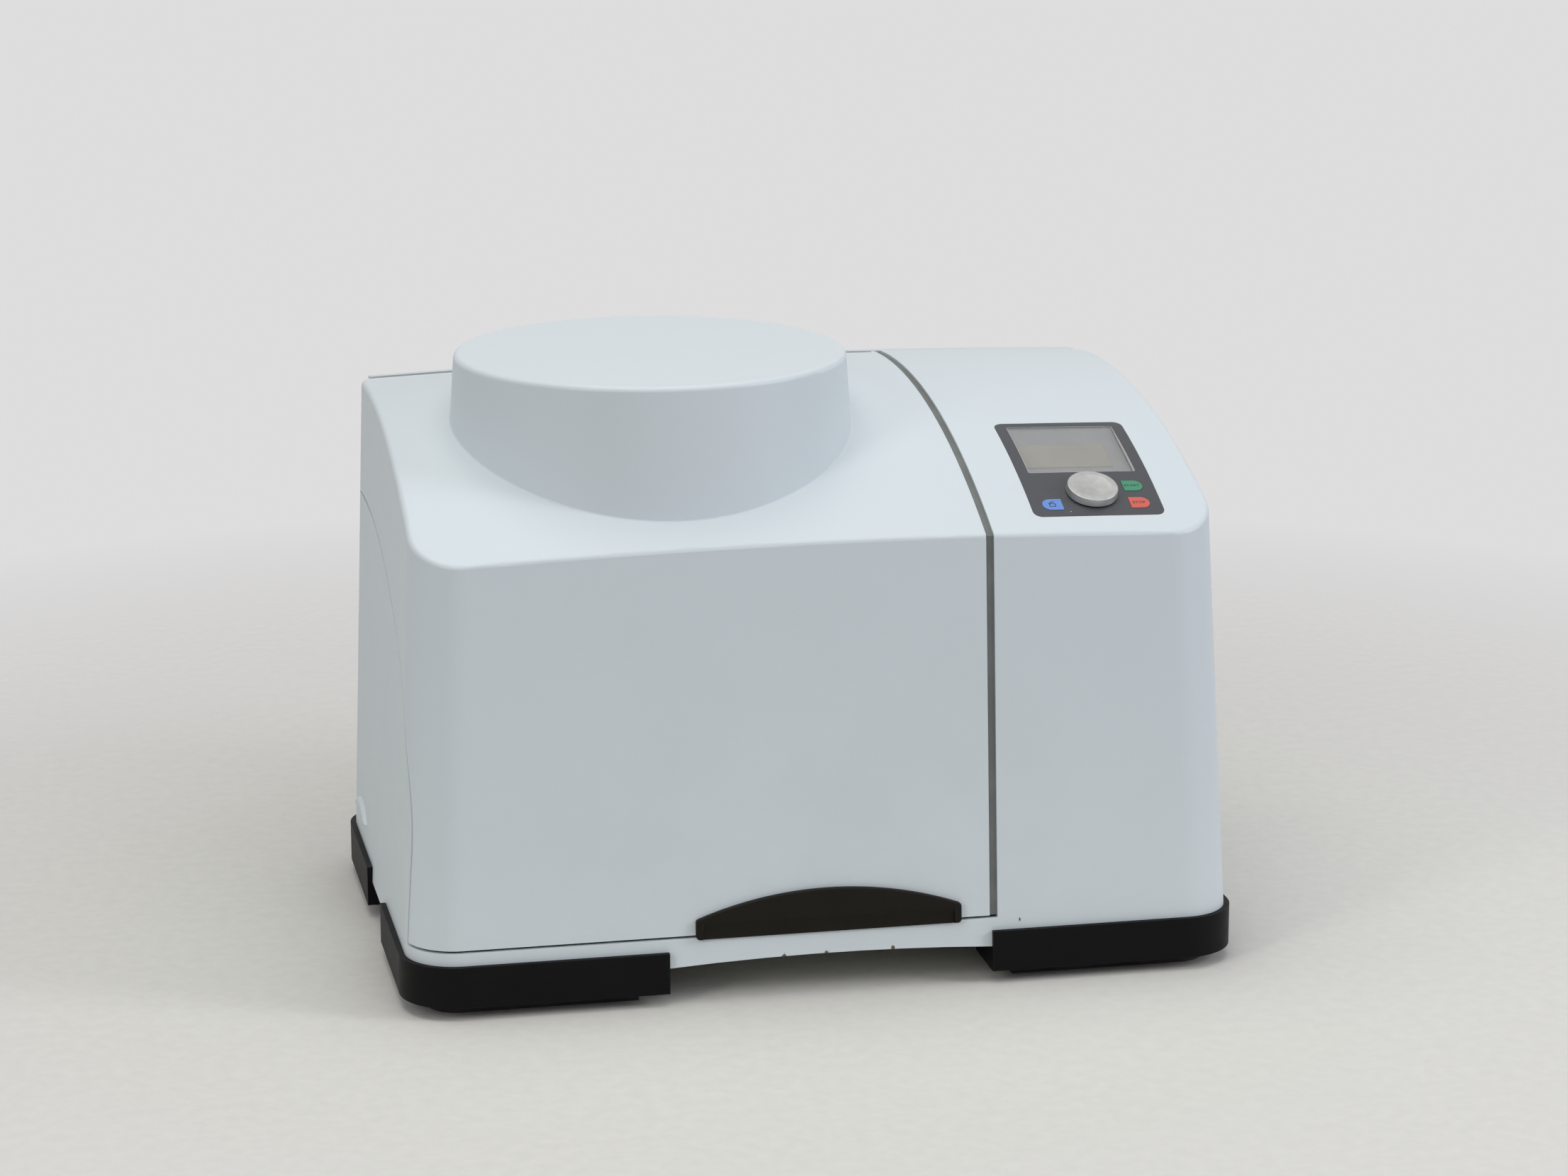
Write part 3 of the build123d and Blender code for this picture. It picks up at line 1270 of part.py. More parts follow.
MOTOR_BRACKET_Z = 96.0
MOTOR_PLATE = 132.0
MOTOR_POST = 58.0
MOTOR_POST_RADIUS = 7.0
MOTOR_TAP = 20.0             # depth of the tapped holes
MOTOR_FINS = 20
MOTOR_SEAT_RADIUS = 24.0
motor_corners = [
    Plane(origin=(MOTOR_X + i * MOTOR_POST, MOTOR_Y + j * MOTOR_POST, MOTOR_Z))
    for i in (-1, 1)
    for j in (-1, 1)
]
with BuildPart() as motor_bracket:
    with BuildSketch(Plane.XY.offset(MOTOR_BRACKET_Z)):
        with Locations(MOTOR):
            RectangleRounded(MOTOR_PLATE, MOTOR_PLATE, MOTOR_POST_RADIUS)
            Circle(MOTOR_SEAT_RADIUS, mode=Mode.SUBTRACT)
    extrude(amount=MOTOR_Z - MOTOR_BRACKET_Z)
    for seat in motor_corners:
        with BuildSketch(Plane.XY.offset(BASE_PLATE_Z + BASE_PLATE)):
            with Locations((seat.origin.X, seat.origin.Y)):
                Circle(MOTOR_POST_RADIUS)
        extrude(amount=MOTOR_BRACKET_Z - BASE_PLATE_Z - BASE_PLATE)
    add(screw_holes(motor_corners, SCREW_CORE, MOTOR_TAP), mode=Mode.SUBTRACT)
keep("motor_bracket", motor_bracket.part)
frame_screws += [cap_screw(seat, SCREW_CORE, SCREW_HEAD, SCREW_HEAD_HIGH, FLANGE) for seat in motor_corners]
keep("frame_screws", Compound(children=frame_screws))
motor_top = MOTOR_Z + MOTOR_HEIGHT
TERMINAL_LOW = 176.0
TERMINAL_HIGH = 236.0
TERMINAL_WIDE = 50.0
TERMINAL_DEEP = 24.0
COWL = 1.5
COWL_HIGH = 22.0
COWL_SLOTS = 8
SLOT_RING = 0.55             # of the motor's radius
SLOT_LONG = 0.6
terminal_y = MOTOR_Y + MOTOR_RADIUS + MOTOR_FIN
with BuildPart() as motor_housing:
    with BuildSketch(Plane.XY.offset(MOTOR_Z)):
        with Locations(MOTOR):
            Circle(MOTOR_RADIUS)
    extrude(amount=MOTOR_HEIGHT)
    with BuildSketch(Plane.XY.offset(MOTOR_Z + 2 * MOTOR_FIN)):
        with Locations(MOTOR):
            with PolarLocations(MOTOR_RADIUS, MOTOR_FINS, start_angle=9):
                Rectangle(2 * MOTOR_FIN, MOTOR_FIN / 2)
    extrude(amount=MOTOR_HEIGHT - 3 * MOTOR_FIN)
    add(
        slab(
            MOTOR_X - TERMINAL_WIDE / 2,
            MOTOR_X + TERMINAL_WIDE / 2,
            MOTOR_Y,
            terminal_y,
            TERMINAL_LOW,
            TERMINAL_HIGH,
        )
    )
    # fan cowl on the upper end and terminal box on the rear
    add(disc(MOTOR, MOTOR_RADIUS + COWL, motor_top - 2 * MOTOR_FIN, motor_top + COWL_HIGH))
    fillet(motor_housing.faces().sort_by(Axis.Z)[-1].edges(), MOTOR_FIN / 2)
    with BuildSketch(Plane.XY.offset(motor_top + COWL_HIGH - COWL)):
        with Locations(MOTOR):
            with PolarLocations(MOTOR_RADIUS * SLOT_RING, COWL_SLOTS):
                Rectangle(MOTOR_RADIUS * SLOT_LONG, MOTOR_FIN)
    extrude(amount=2 * COWL, mode=Mode.SUBTRACT)
    terminal_box = slab(
        MOTOR_X - TERMINAL_WIDE / 2,
        MOTOR_X + TERMINAL_WIDE / 2,
        terminal_y - MOTOR_FIN,
        terminal_y + TERMINAL_DEEP,
        TERMINAL_LOW - MOTOR_FIN,
        TERMINAL_HIGH + MOTOR_FIN,
    )
    add(terminal_box)
    chamfer(motor_housing.faces().sort_by(Axis.Y)[-1].edges(), 2.0)
    add(disc(MOTOR, MOTOR_SHAFT_RADIUS + PIN_FIT, 0, motor_top), mode=Mode.SUBTRACT)
    # screws of the bracket stand clear of the fins
    for seat in motor_corners:
        with BuildSketch(seat):
            Circle(SCREW_HEAD + 1)
        extrude(amount=2 * SCREW_HEAD_HIGH, mode=Mode.SUBTRACT)
keep("motor_housing", motor_housing.part)
keep("motor_shaft", disc(MOTOR, MOTOR_SHAFT_RADIUS, SHAFT_FOOT + 4, motor_top - MOTOR_FIN))

# --------------------------------------------------------------------------
# Sun wheel: disc, bearing cartridge of the jar station, counterweight on its rail
# --------------------------------------------------------------------------
CARTRIDGE_Z = 138.0
CARTRIDGE_TOP = 180.0
CARTRIDGE_FLANGE = 6.0
CARTRIDGE_FLANGE_RADIUS = 38.0
CARTRIDGE_SCREW_CIRCLE = 33.6
CARTRIDGE_SCREW = 2.0
CARTRIDGE_HEAD = 3.5
PLANET_LEVELS = (142.0, 164.0)
disc_top = SUN_DISC_Z + SUN_DISC
flange_seat_z = disc_top + CARTRIDGE_FLANGE
cartridge_seats = ring_of_seats(PLANET, CARTRIDGE_SCREW_CIRCLE, flange_seat_z, (45, 135, 225, 315))
RIM_RING = 5.0
POCKET = 5.0
with BuildPart() as sun_disc:
    add(disc(SUN, SUN_DISC_RADIUS, SUN_DISC_Z, disc_top))
    chamfer(sun_disc.edges().filter_by(GeomType.CIRCLE), 1.5)
    # balancing pockets in the underside
    with BuildSketch(Plane.XY.offset(SUN_DISC_Z)):
        with Locations(SUN):
            with PolarLocations(SUN_DISC_RADIUS * 0.7, 6, start_angle=60, angular_range=240):
                Circle(SUN_DISC_RADIUS * 0.13)
    extrude(amount=POCKET, mode=Mode.SUBTRACT)
    add(disc(PLANET, CARTRIDGE_RADIUS + BEARING_SEAT, 0, FAR), mode=Mode.SUBTRACT)
    add(screw_holes(sun_screw_seats, SCREW_CORE, 2 * SUN_DISC), mode=Mode.SUBTRACT)
    add(screw_holes(cartridge_seats, CARTRIDGE_SCREW, 2 * SUN_DISC), mode=Mode.SUBTRACT)
keep("sun_disc", sun_disc.part)
planet_seat = PLANET_BEARING_RADIUS + BEARING_SEAT
planet_shoulder = PLANET_BEARING_RADIUS - 2.5
low_shoulder_z = PLANET_LEVELS[0] + PLANET_BEARING_WIDTH
with BuildPart() as cartridge:
    add(
        turned(
            PLANET,
            [
                (planet_seat, CARTRIDGE_Z),
                (CARTRIDGE_RADIUS, CARTRIDGE_Z),
                (CARTRIDGE_RADIUS, disc_top),
                (CARTRIDGE_FLANGE_RADIUS, disc_top),
                (CARTRIDGE_FLANGE_RADIUS, flange_seat_z),
                (CARTRIDGE_RADIUS, flange_seat_z),
                (CARTRIDGE_RADIUS, CARTRIDGE_TOP),
                (planet_seat, CARTRIDGE_TOP),
                (planet_seat, PLANET_LEVELS[1]),
                (planet_shoulder, PLANET_LEVELS[1]),
                (planet_shoulder, low_shoulder_z),
                (planet_seat, low_shoulder_z),
            ],
        )
    )
    add(screw_holes(cartridge_seats, CARTRIDGE_SCREW, 2 * SUN_DISC), mode=Mode.SUBTRACT)
keep("planet_cartridge", cartridge.part)
wheel_screws += [
    cap_screw(seat, CARTRIDGE_SCREW, CARTRIDGE_HEAD, CARTRIDGE_HEAD, SUN_DISC) for seat in cartridge_seats
]
keep("sun_wheel_screws", Compound(children=wheel_screws))
keep(
    "planet_bearings",
    Compound(
        children=[
            bearing_ring(
                PLANET, PLANET_SHAFT_RADIUS + PIN_FIT, PLANET_BEARING_RADIUS, z, PLANET_BEARING_WIDTH
            )
            for z in PLANET_LEVELS
        ]
    ),
)

# counterweight: a wedge on the disc carries a rail; the weight slides along it
RAIL_IN = 30.0               # inner and outer end of the wedge, from the sun axis
RAIL_OUT = 134.0
WEDGE_LOW = 8.0
WEDGE_WIDE = 46.0
RAIL_WIDE = 22.0
RAIL_HIGH = 8.0
WEIGHT_MIDDLE = 78.0
WEIGHT_LONG = 60.0
WEIGHT_WIDE = 90.0
WEIGHT_HIGH = 46.0
RUN_FIT = 0.08
slope = radians(WEIGHT_SLOPE)
wedge_high = WEDGE_LOW + (RAIL_OUT - RAIL_IN) * tan(slope)
with BuildPart() as rail:
    with BuildSketch(Plane.YZ.offset(DOME_X - WEDGE_WIDE / 2)):
        with BuildLine():
            Polyline(
                (RAIL_IN, disc_top),
                (RAIL_OUT, disc_top),
                (RAIL_OUT, disc_top + wedge_high),
                (RAIL_IN, disc_top + WEDGE_LOW),
                close=True,
            )
        make_face()
    extrude(amount=WEDGE_WIDE)
    with BuildSketch(Plane.YZ.offset(DOME_X - RAIL_WIDE / 2)):
        with BuildLine():
            Polyline(
                (RAIL_IN, disc_top + WEDGE_LOW),
                (RAIL_OUT, disc_top + wedge_high),
                (RAIL_OUT, disc_top + wedge_high + RAIL_HIGH),
                (RAIL_IN, disc_top + WEDGE_LOW + RAIL_HIGH),
                close=True,
            )
        make_face()
    extrude(amount=RAIL_WIDE)
    add(disc(SUN, SUN_DISC_RADIUS - RIM_RING, 0, FAR), mode=Mode.INTERSECT)
keep("counterweight_rail", rail.part)
weight_foot_z = disc_top + WEDGE_LOW + (WEIGHT_MIDDLE - RAIL_IN) * tan(slope)
weight_seat = Plane(
    origin=(DOME_X, WEIGHT_MIDDLE, weight_foot_z), x_dir=(1, 0, 0), z_dir=(0, -sin(slope), cos(slope))
)
STUD_RADIUS = 5.0
with BuildPart() as weight:
    with BuildSketch(weight_seat.offset(RUN_FIT)):
        RectangleRounded(WEIGHT_WIDE, WEIGHT_LONG, 8.0)
    extrude(amount=WEIGHT_HIGH)
    chamfer(weight.faces().sort_by(Axis.Z)[-1].edges(), 2.0)
    with BuildSketch(weight_seat):
        Rectangle(RAIL_WIDE + 4 * RUN_FIT, 2 * WEIGHT_LONG)
    extrude(amount=(RAIL_HIGH + RUN_FIT) * cos(slope) + RUN_FIT, mode=Mode.SUBTRACT)
    with BuildSketch(weight_seat.offset(RAIL_HIGH + 4)):
        Circle(STUD_RADIUS + PIN_FIT)
    extrude(amount=WEIGHT_HIGH, mode=Mode.SUBTRACT)
keep("counterweight", weight.part)
KNOB_NUT_RADIUS = 15.0
KNOB_NUT = 14.0
KNOB_LOBES = 6
with BuildPart() as weight_knob:
    with BuildSketch(weight_seat.offset(WEIGHT_HIGH + 2 * RUN_FIT)):
        Circle(KNOB_NUT_RADIUS)
        with PolarLocations(KNOB_NUT_RADIUS + 2, KNOB_LOBES):
            Circle(4.5, mode=Mode.SUBTRACT)
    extrude(amount=KNOB_NUT)
    with BuildSketch(weight_seat.offset(RAIL_HIGH + 4.3)):
        Circle(STUD_RADIUS)
    extrude(amount=WEIGHT_HIGH - RAIL_HIGH)
keep("counterweight_knob", weight_knob.part)

# --------------------------------------------------------------------------
# Jar station: shaft, holder, jar, lid, clamp
# --------------------------------------------------------------------------
SHAFT_FLANGE = 3.5
SHAFT_FLANGE_RADIUS = 24.0
JAR_RECESS = 2.0
keep(
    "planet_shaft",
    turned(
        PLANET,
        [
            (0, PLANET_DRIVE_Z - 2),
            (PLANET_SHAFT_RADIUS - 1, PLANET_DRIVE_Z - 2),
            (PLANET_SHAFT_RADIUS, PLANET_DRIVE_Z - 1),
            (PLANET_SHAFT_RADIUS, HOLDER_Z - SHAFT_FLANGE),
            (SHAFT_FLANGE_RADIUS, HOLDER_Z - SHAFT_FLANGE),
            (SHAFT_FLANGE_RADIUS, HOLDER_Z),
            (0, HOLDER_Z),
        ],
    ),
)
ARM_TOP = 342.0
arm_out = HOLDER_RADIUS - 0.5
arm_in = arm_out - ARM_THICK
TONGUE_WIDE = 20.0
TONGUE_TALL = 8.0
tongue_z = BRIDGE_Z + (BRIDGE - TONGUE_TALL) / 2
holder_top = HOLDER_Z + HOLDER_PLATE
with BuildPart() as holder:
    add(disc(PLANET, HOLDER_RADIUS, HOLDER_Z, holder_top))
    add(disc(PLANET, JAR_RADIUS + FIT, holder_top - JAR_RECESS, FAR), mode=Mode.SUBTRACT)
    for side in (-1, 1):
        with BuildSketch(Plane.XY.offset(HOLDER_Z)):
            with Locations((DOME_X + side * (arm_in + arm_out) / 2, -PLANET_ARM)):
                Rectangle(ARM_THICK, ARM_WIDTH)
        extrude(amount=ARM_TOP - HOLDER_Z)
    fillet(holder.edges().filter_by(Axis.X).filter_by(lambda edge: edge.center().Z > ARM_TOP - 1), 6.0)
    # windows for the bridge's tongues
    add(
        slab(
            DOME_X - FAR,
            DOME_X + FAR,
            -PLANET_ARM - TONGUE_WIDE / 2 - FIT,
            -PLANET_ARM + TONGUE_WIDE / 2 + FIT,
            tongue_z - FIT,
            tongue_z + TONGUE_TALL,
        ),
        mode=Mode.SUBTRACT,
    )
keep("jar_holder", holder.part)
jar_z = holder_top - JAR_RECESS
jar_top = jar_z + JAR_HEIGHT
SEAL = 1.6
SEAL_IN = JAR_BORE + 1.5
SEAL_OUT = JAR_RADIUS - 2.5
with BuildPart() as jar:
    add(
        turned(
            PLANET,
            [
                (0, jar_z),
                (JAR_RADIUS - 2, jar_z),
                (JAR_RADIUS, jar_z + 2),
                (JAR_RADIUS, jar_top - 14),
                (JAR_RADIUS - 3, jar_top - 12),
                (JAR_RADIUS - 3, jar_top - 8),
                (JAR_RADIUS, jar_top - 6),
                (JAR_RADIUS, jar_top),
                (SEAL_OUT, jar_top),
                (SEAL_OUT, jar_top - SEAL),
                (SEAL_IN, jar_top - SEAL),
                (SEAL_IN, jar_top),
                (JAR_BORE, jar_top),
                (JAR_BORE, jar_z + JAR_BASE),
                (0, jar_z + JAR_BASE),
            ],
        )
    )
    inner_foot = jar.edges().filter_by(GeomType.CIRCLE).filter_by(
        lambda edge: abs(edge.radius - JAR_BORE) < PIN_FIT and edge.center().Z < jar_top - JAR_BASE
    )
    fillet(inner_foot, JAR_FOOT_FILLET)
keep("grinding_jar", jar.part)
keep(
    "jar_seal",
    turned(
        PLANET,
        [
            (SEAL_IN, jar_top - SEAL),
            (SEAL_OUT, jar_top - SEAL),
            (SEAL_OUT, jar_top),
            (SEAL_IN, jar_top),
        ],
    ),
)
lid_top = jar_top + JAR_LID
PAD_RADIUS = 20.0
PAD = 8.0
with BuildPart() as jar_lid:
    add(
        turned(
            PLANET,
            [
                (0, jar_top - 4),
                (JAR_BORE - 0.5, jar_top - 4),
                (JAR_BORE - 0.5, jar_top),
                (JAR_RADIUS, jar_top),
                (JAR_RADIUS, jar_top + 4),
                (JAR_RADIUS - 3, jar_top + 5),
                (JAR_RADIUS - 3, jar_top + 8),
                (JAR_RADIUS, jar_top + 9),
                (JAR_RADIUS, lid_top - 1.5),
                (JAR_RADIUS - 1.5, lid_top),
                (PAD_RADIUS + 6, lid_top),
                (PAD_RADIUS + 4, lid_top - 2),
                (0, lid_top - 2),
            ],
        )
    )
keep("jar_lid", jar_lid.part)
pad_z = lid_top - 2
BRIDGE_BOSS = 17.0
BRIDGE_WAIST = 22.0
with BuildPart() as bridge:
    with BuildSketch(Plane.XY.offset(BRIDGE_Z)):
        with Locations(PLANET):
            Rectangle(2 * (arm_in - FIT), BRIDGE_WAIST)
            Circle(BRIDGE_BOSS)
    extrude(amount=BRIDGE)
    with BuildSketch(Plane.XY.offset(tongue_z)):
        with Locations(PLANET):
            Rectangle(2 * (arm_out + 1.5), TONGUE_WIDE)
    extrude(amount=TONGUE_TALL - FIT)
    upright = bridge.edges().filter_by(Axis.Z)
    fillet(upright.filter_by(lambda edge: abs(edge.center().X - DOME_X) < BRIDGE_BOSS), 3.0)
    add(disc(PLANET, SPINDLE_RADIUS + PIN_FIT, 0, FAR), mode=Mode.SUBTRACT)
    chamfer(bridge.faces().sort_by(Axis.Z)[-1].edges().filter_by(GeomType.CIRCLE), 1.0)
keep("clamp_bridge", bridge.part)
with BuildPart() as pad:
    add(disc(PLANET, PAD_RADIUS, pad_z, pad_z + PAD))
    chamfer(pad.faces().sort_by(Axis.Z)[-1].edges(), 2.0)
    add(disc(PLANET, SPINDLE_RADIUS - 3 + PIN_FIT, pad_z + 3, FAR), mode=Mode.SUBTRACT)
keep("clamp_pad", pad.part)
NOSE = SPINDLE_RADIUS - 3
HANDWHEEL_Z = SPINDLE_TOP - 2 - HANDWHEEL
with BuildPart() as spindle:
    add(
        turned(
            PLANET,
            [
                (0, pad_z + 3 + RUN_FIT),
                (NOSE, pad_z + 3 + RUN_FIT),
                (NOSE, pad_z + PAD + RUN_FIT),
                (SPINDLE_RADIUS, pad_z + PAD + RUN_FIT),
                (SPINDLE_RADIUS, SPINDLE_TOP),
                (0, SPINDLE_TOP),
            ],
        )
    )
    chamfer(spindle.faces().sort_by(Axis.Z)[-1].edges(), 1.0)
keep("clamp_spindle", spindle.part)
HAND_LOBES = 8
with BuildPart() as handwheel:
    with BuildSketch(Plane.XY.offset(HANDWHEEL_Z)):
        with Locations(PLANET):
            Circle(HANDWHEEL_RADIUS)
            with PolarLocations(HANDWHEEL_RADIUS + 4, HAND_LOBES):
                Circle(8.0, mode=Mode.SUBTRACT)
    extrude(amount=HANDWHEEL)
    with BuildSketch(Plane.XY.offset(HANDWHEEL_Z - 10)):
        with Locations(PLANET):
            Circle(15.0)
    extrude(amount=10)
    fillet(handwheel.faces().sort_by(Axis.Z)[-1].edges(), 2.0)
    add(disc(PLANET, SPINDLE_RADIUS + BEARING_SEAT, 0, FAR), mode=Mode.SUBTRACT)
keep("clamp_handwheel", handwheel.part)

# --------------------------------------------------------------------------
# Electrics: inverter, mains inlet with fuse drawer, power switch, cooling fan
# --------------------------------------------------------------------------
INVERTER = (MOTOR_X, -DEPTH / 2 + 95.5)
INVERTER_WIDE = 120.0
INVERTER_DEEP = 60.0
INVERTER_HIGH = 170.0
INVERTER_FINS = 9
base_top = BASE_PLATE_Z + BASE_PLATE
with BuildPart() as inverter:
    with BuildSketch(Plane.XY.offset(base_top)):
        with Locations(INVERTER):
            RectangleRounded(INVERTER_WIDE, INVERTER_DEEP, 3.0)
    extrude(amount=INVERTER_HIGH)
    with BuildSketch(Plane.XY.offset(base_top + 10)):
        with Locations((INVERTER[0], INVERTER[1] - INVERTER_DEEP / 2)):
            with GridLocations(INVERTER_WIDE / (INVERTER_FINS + 1), 1, INVERTER_FINS, 1):
                Rectangle(6, 20)
    extrude(amount=INVERTER_HIGH, mode=Mode.SUBTRACT)
keep("drive_inverter", inverter.part)

FLANGE_PROUD = 2.0
rear_proud = REAR_FACE_Y + FLANGE_PROUD
INLET_FLANGE = 6.0
INLET_DEEP = 30.0
SOCKET_WIDE = 27.5
SOCKET_HIGH = 17.0
SOCKET_DEEP = 16.0
SOCKET_UP = 4.0
DRAWER_HIGH = 6.0
BLADE_DEEP = 12.0
SWITCH_DEEP = 22.0
ROCKER_WIDE = 21.0
ROCKER_KEEL = 6.0            # depth of the rocker below its frame
KEEL_HALF = 3.0
RAISED_END = 4.2             # the end that stands proud
RAISED_BACK = 2.0
ROCKER_WAIST = 2.4
PRESSED_END = 1.2            # the end that is pressed in
PRESSED_BACK = 4.0
ROCKER_HIGH = 12.8
ROCKER_DEEP = 12.0
PRONGS = ((-7.0, -1.5), (7.0, -1.5), (0.0, 2.5))
PRONG_HALF = 1.0
ROCKER_Y = REAR_FACE_Y - 3.0
AXLE_Y = ROCKER_Y - 2.5      # the rocker's axle
AXLE_RADIUS = 1.5
AXLE_STUB = 1.8              # how far each end of the axle reaches into the switch's walls


def rear_box(x, z, wide, high, y_low, y_high, corner):
    """A rounded block square to the rear face."""
    with BuildPart() as box:
        with BuildSketch(Plane.XZ.offset(-y_high)):
            with Locations((x, z)):
                RectangleRounded(wide, high, corner)
        extrude(amount=y_high - y_low)
    return box.part


socket_z = INLET_Z + SOCKET_UP
drawer_z = INLET_Z - INLET_HIGH / 2 + DRAWER_HIGH / 2 + 1
entry_middle = (INLET_X + SWITCH_X) / 2
entry_wide = INLET_X - SWITCH_X + (INLET_WIDE + SWITCH_WIDE) / 2 + INLET_FLANGE
with BuildPart() as power_entry:
    add(
        rear_box(
            entry_middle + (INLET_WIDE - SWITCH_WIDE) / 4,
            INLET_Z,
            entry_wide,
            INLET_HIGH + INLET_FLANGE,
            REAR_FACE_Y,
            rear_proud,
            3.0,
        )
    )
    fillet(power_entry.faces().sort_by(Axis.Y)[-1].edges(), FLANGE_PROUD / 2)
    add(rear_box(INLET_X, INLET_Z, INLET_WIDE, INLET_HIGH, REAR_FACE_Y - INLET_DEEP, REAR_FACE_Y, 1.0))
    add(rear_box(SWITCH_X, INLET_Z, SWITCH_WIDE, SWITCH_HIGH, REAR_FACE_Y - SWITCH_DEEP, REAR_FACE_Y, 1.0))
    add(
        rear_box(INLET_X, socket_z, SOCKET_WIDE, SOCKET_HIGH, rear_proud - SOCKET_DEEP, rear_proud, 3.0),
        mode=Mode.SUBTRACT,
    )
    # hairline round the fuse drawer
    drawer_line = rear_box(
        INLET_X, drawer_z, SOCKET_WIDE, DRAWER_HIGH, rear_proud - 1, rear_proud, 1.0
    ) - rear_box(
        INLET_X, drawer_z, SOCKET_WIDE - 1, DRAWER_HIGH - 1, rear_proud - 1, rear_proud, 0.5
    )
    add(drawer_line, mode=Mode.SUBTRACT)
    add(
        rear_box(
            SWITCH_X,
            INLET_Z,
            ROCKER_WIDE + 2 * FIT,
            ROCKER_HIGH + 8 * FIT,
            REAR_FACE_Y - ROCKER_DEEP,
            rear_proud,
            0.5,
        ),
        mode=Mode.SUBTRACT,
    )
    # bearing holes for the rocker's axle
    axle_reach = ROCKER_WIDE / 2 + AXLE_STUB
    with BuildSketch(Plane.YZ.offset(SWITCH_X - axle_reach - PIN_FIT)):
        with Locations((AXLE_Y, INLET_Z)):
            Circle(AXLE_RADIUS + PIN_FIT)
    extrude(amount=2 * (axle_reach + PIN_FIT), mode=Mode.SUBTRACT)
    for across, up in PRONGS:
        add(
            slab(
                INLET_X + across - PRONG_HALF,
                INLET_X + across + PRONG_HALF,
                rear_proud - SOCKET_DEEP - 1,
                rear_proud - SOCKET_DEEP + BLADE_DEEP,
                socket_z + up - 2 * PRONG_HALF,
                socket_z + up + 2 * PRONG_HALF,
            )
        )
keep("power_entry", power_entry.part)

# the rocker's two faces slope away from a ridge; it rests pressed in at the top
half_rock = ROCKER_HIGH / 2 - 0.2
with BuildPart() as rocker:
    with BuildSketch(Plane.YZ.offset(SWITCH_X - ROCKER_WIDE / 2)):
        with BuildLine():
            Polyline(
                (ROCKER_Y - ROCKER_KEEL, INLET_Z + KEEL_HALF),
                (ROCKER_Y - ROCKER_KEEL, INLET_Z - KEEL_HALF),
                (ROCKER_Y - RAISED_BACK, INLET_Z - half_rock),
                (ROCKER_Y + RAISED_END, INLET_Z - half_rock),
                (ROCKER_Y + ROCKER_WAIST, INLET_Z),
                (ROCKER_Y + PRESSED_END, INLET_Z + half_rock),
                (ROCKER_Y - PRESSED_BACK, INLET_Z + half_rock),
                close=True,
            )
        make_face()
    extrude(amount=ROCKER_WIDE)
    with BuildSketch(Plane.YZ.offset(SWITCH_X - axle_reach)):
        with Locations((AXLE_Y, INLET_Z)):
            Circle(AXLE_RADIUS)
    extrude(amount=2 * axle_reach)
keep("power_switch", rocker.part)

FRAME_SIDE = 92.0
FRAME_DEEP = 25.0
FRAME_CORNER = 4.0
FAN_SEAT_RADIUS = 15.0       # the fan motor's seat
FAN_SEAT = 3.0
STRUT = 4.0
STRUT_ANGLES = (90, 210, 330)
FAN_AXLE_RADIUS = 3.0
FAN_HUB_RADIUS = 16.0
BLADES = 7
BLADE_RING = 27.0            # middle of the blades from the axle
BLADE_LONG = 28.0
BLADE = 6.0
BLADE_TURN = 20.0
FAN_AIR = 4.0                # between blades and guard
fan_front = REAR_FACE_Y - REAR_SHEET
with BuildPart() as fan_frame:
    add(rear_box(FAN_X, FAN_Z, FRAME_SIDE, FRAME_SIDE, fan_front - FRAME_DEEP, fan_front, FRAME_CORNER))
    with BuildSketch(Plane.XZ.offset(-fan_front)):
        with Locations((FAN_X, FAN_Z)):
            Circle(FAN_RADIUS)
    extrude(amount=FRAME_DEEP, mode=Mode.SUBTRACT)
    # the motor's seat stands on three struts
    with BuildSketch(Plane.XZ.offset(-fan_front + FRAME_DEEP - FAN_SEAT)):
        with Locations((FAN_X, FAN_Z)):
            Circle(FAN_SEAT_RADIUS)
            for turn in STRUT_ANGLES:
                with PolarLocations((FAN_RADIUS + STRUT) / 2, 1, start_angle=turn):
                    Rectangle(FAN_RADIUS, STRUT)
            Circle(FAN_AXLE_RADIUS + PIN_FIT, mode=Mode.SUBTRACT)
    extrude(amount=FAN_SEAT)
keep("fan_frame", fan_frame.part)
with BuildPart() as fan_rotor:
    with BuildSketch(Plane.XZ.offset(-fan_front + FAN_AIR)):
        with Locations((FAN_X, FAN_Z)):
            Circle(FAN_HUB_RADIUS)
            with PolarLocations(BLADE_RING, BLADES):
                Rectangle(BLADE_LONG, BLADE, rotation=BLADE_TURN)
    extrude(amount=FRAME_DEEP - 2 * FAN_AIR - 1)
    with BuildSketch(Plane.XZ.offset(-fan_front + FAN_AIR)):
        with Locations((FAN_X, FAN_Z)):
            Circle(FAN_AXLE_RADIUS)
    extrude(amount=FRAME_DEEP - FAN_AIR - 1)
keep("fan_rotor", fan_rotor.part)
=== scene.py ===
# %% [markdown]
# # A planetary ball mill, dressed for the camera
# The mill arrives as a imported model: sixty named pieces on their moving bodies, in metres.
# They keep their shapes; only the frame of the display gives way to a truer one. Each cell
# looks at one finish or one small fitting, says what it is on the real machine, and builds
# it from nodes or from mesh code.

from math import asin, cos, pi, radians, sin, sqrt, tan

import bmesh
import bpy
from mathutils import Matrix, Vector


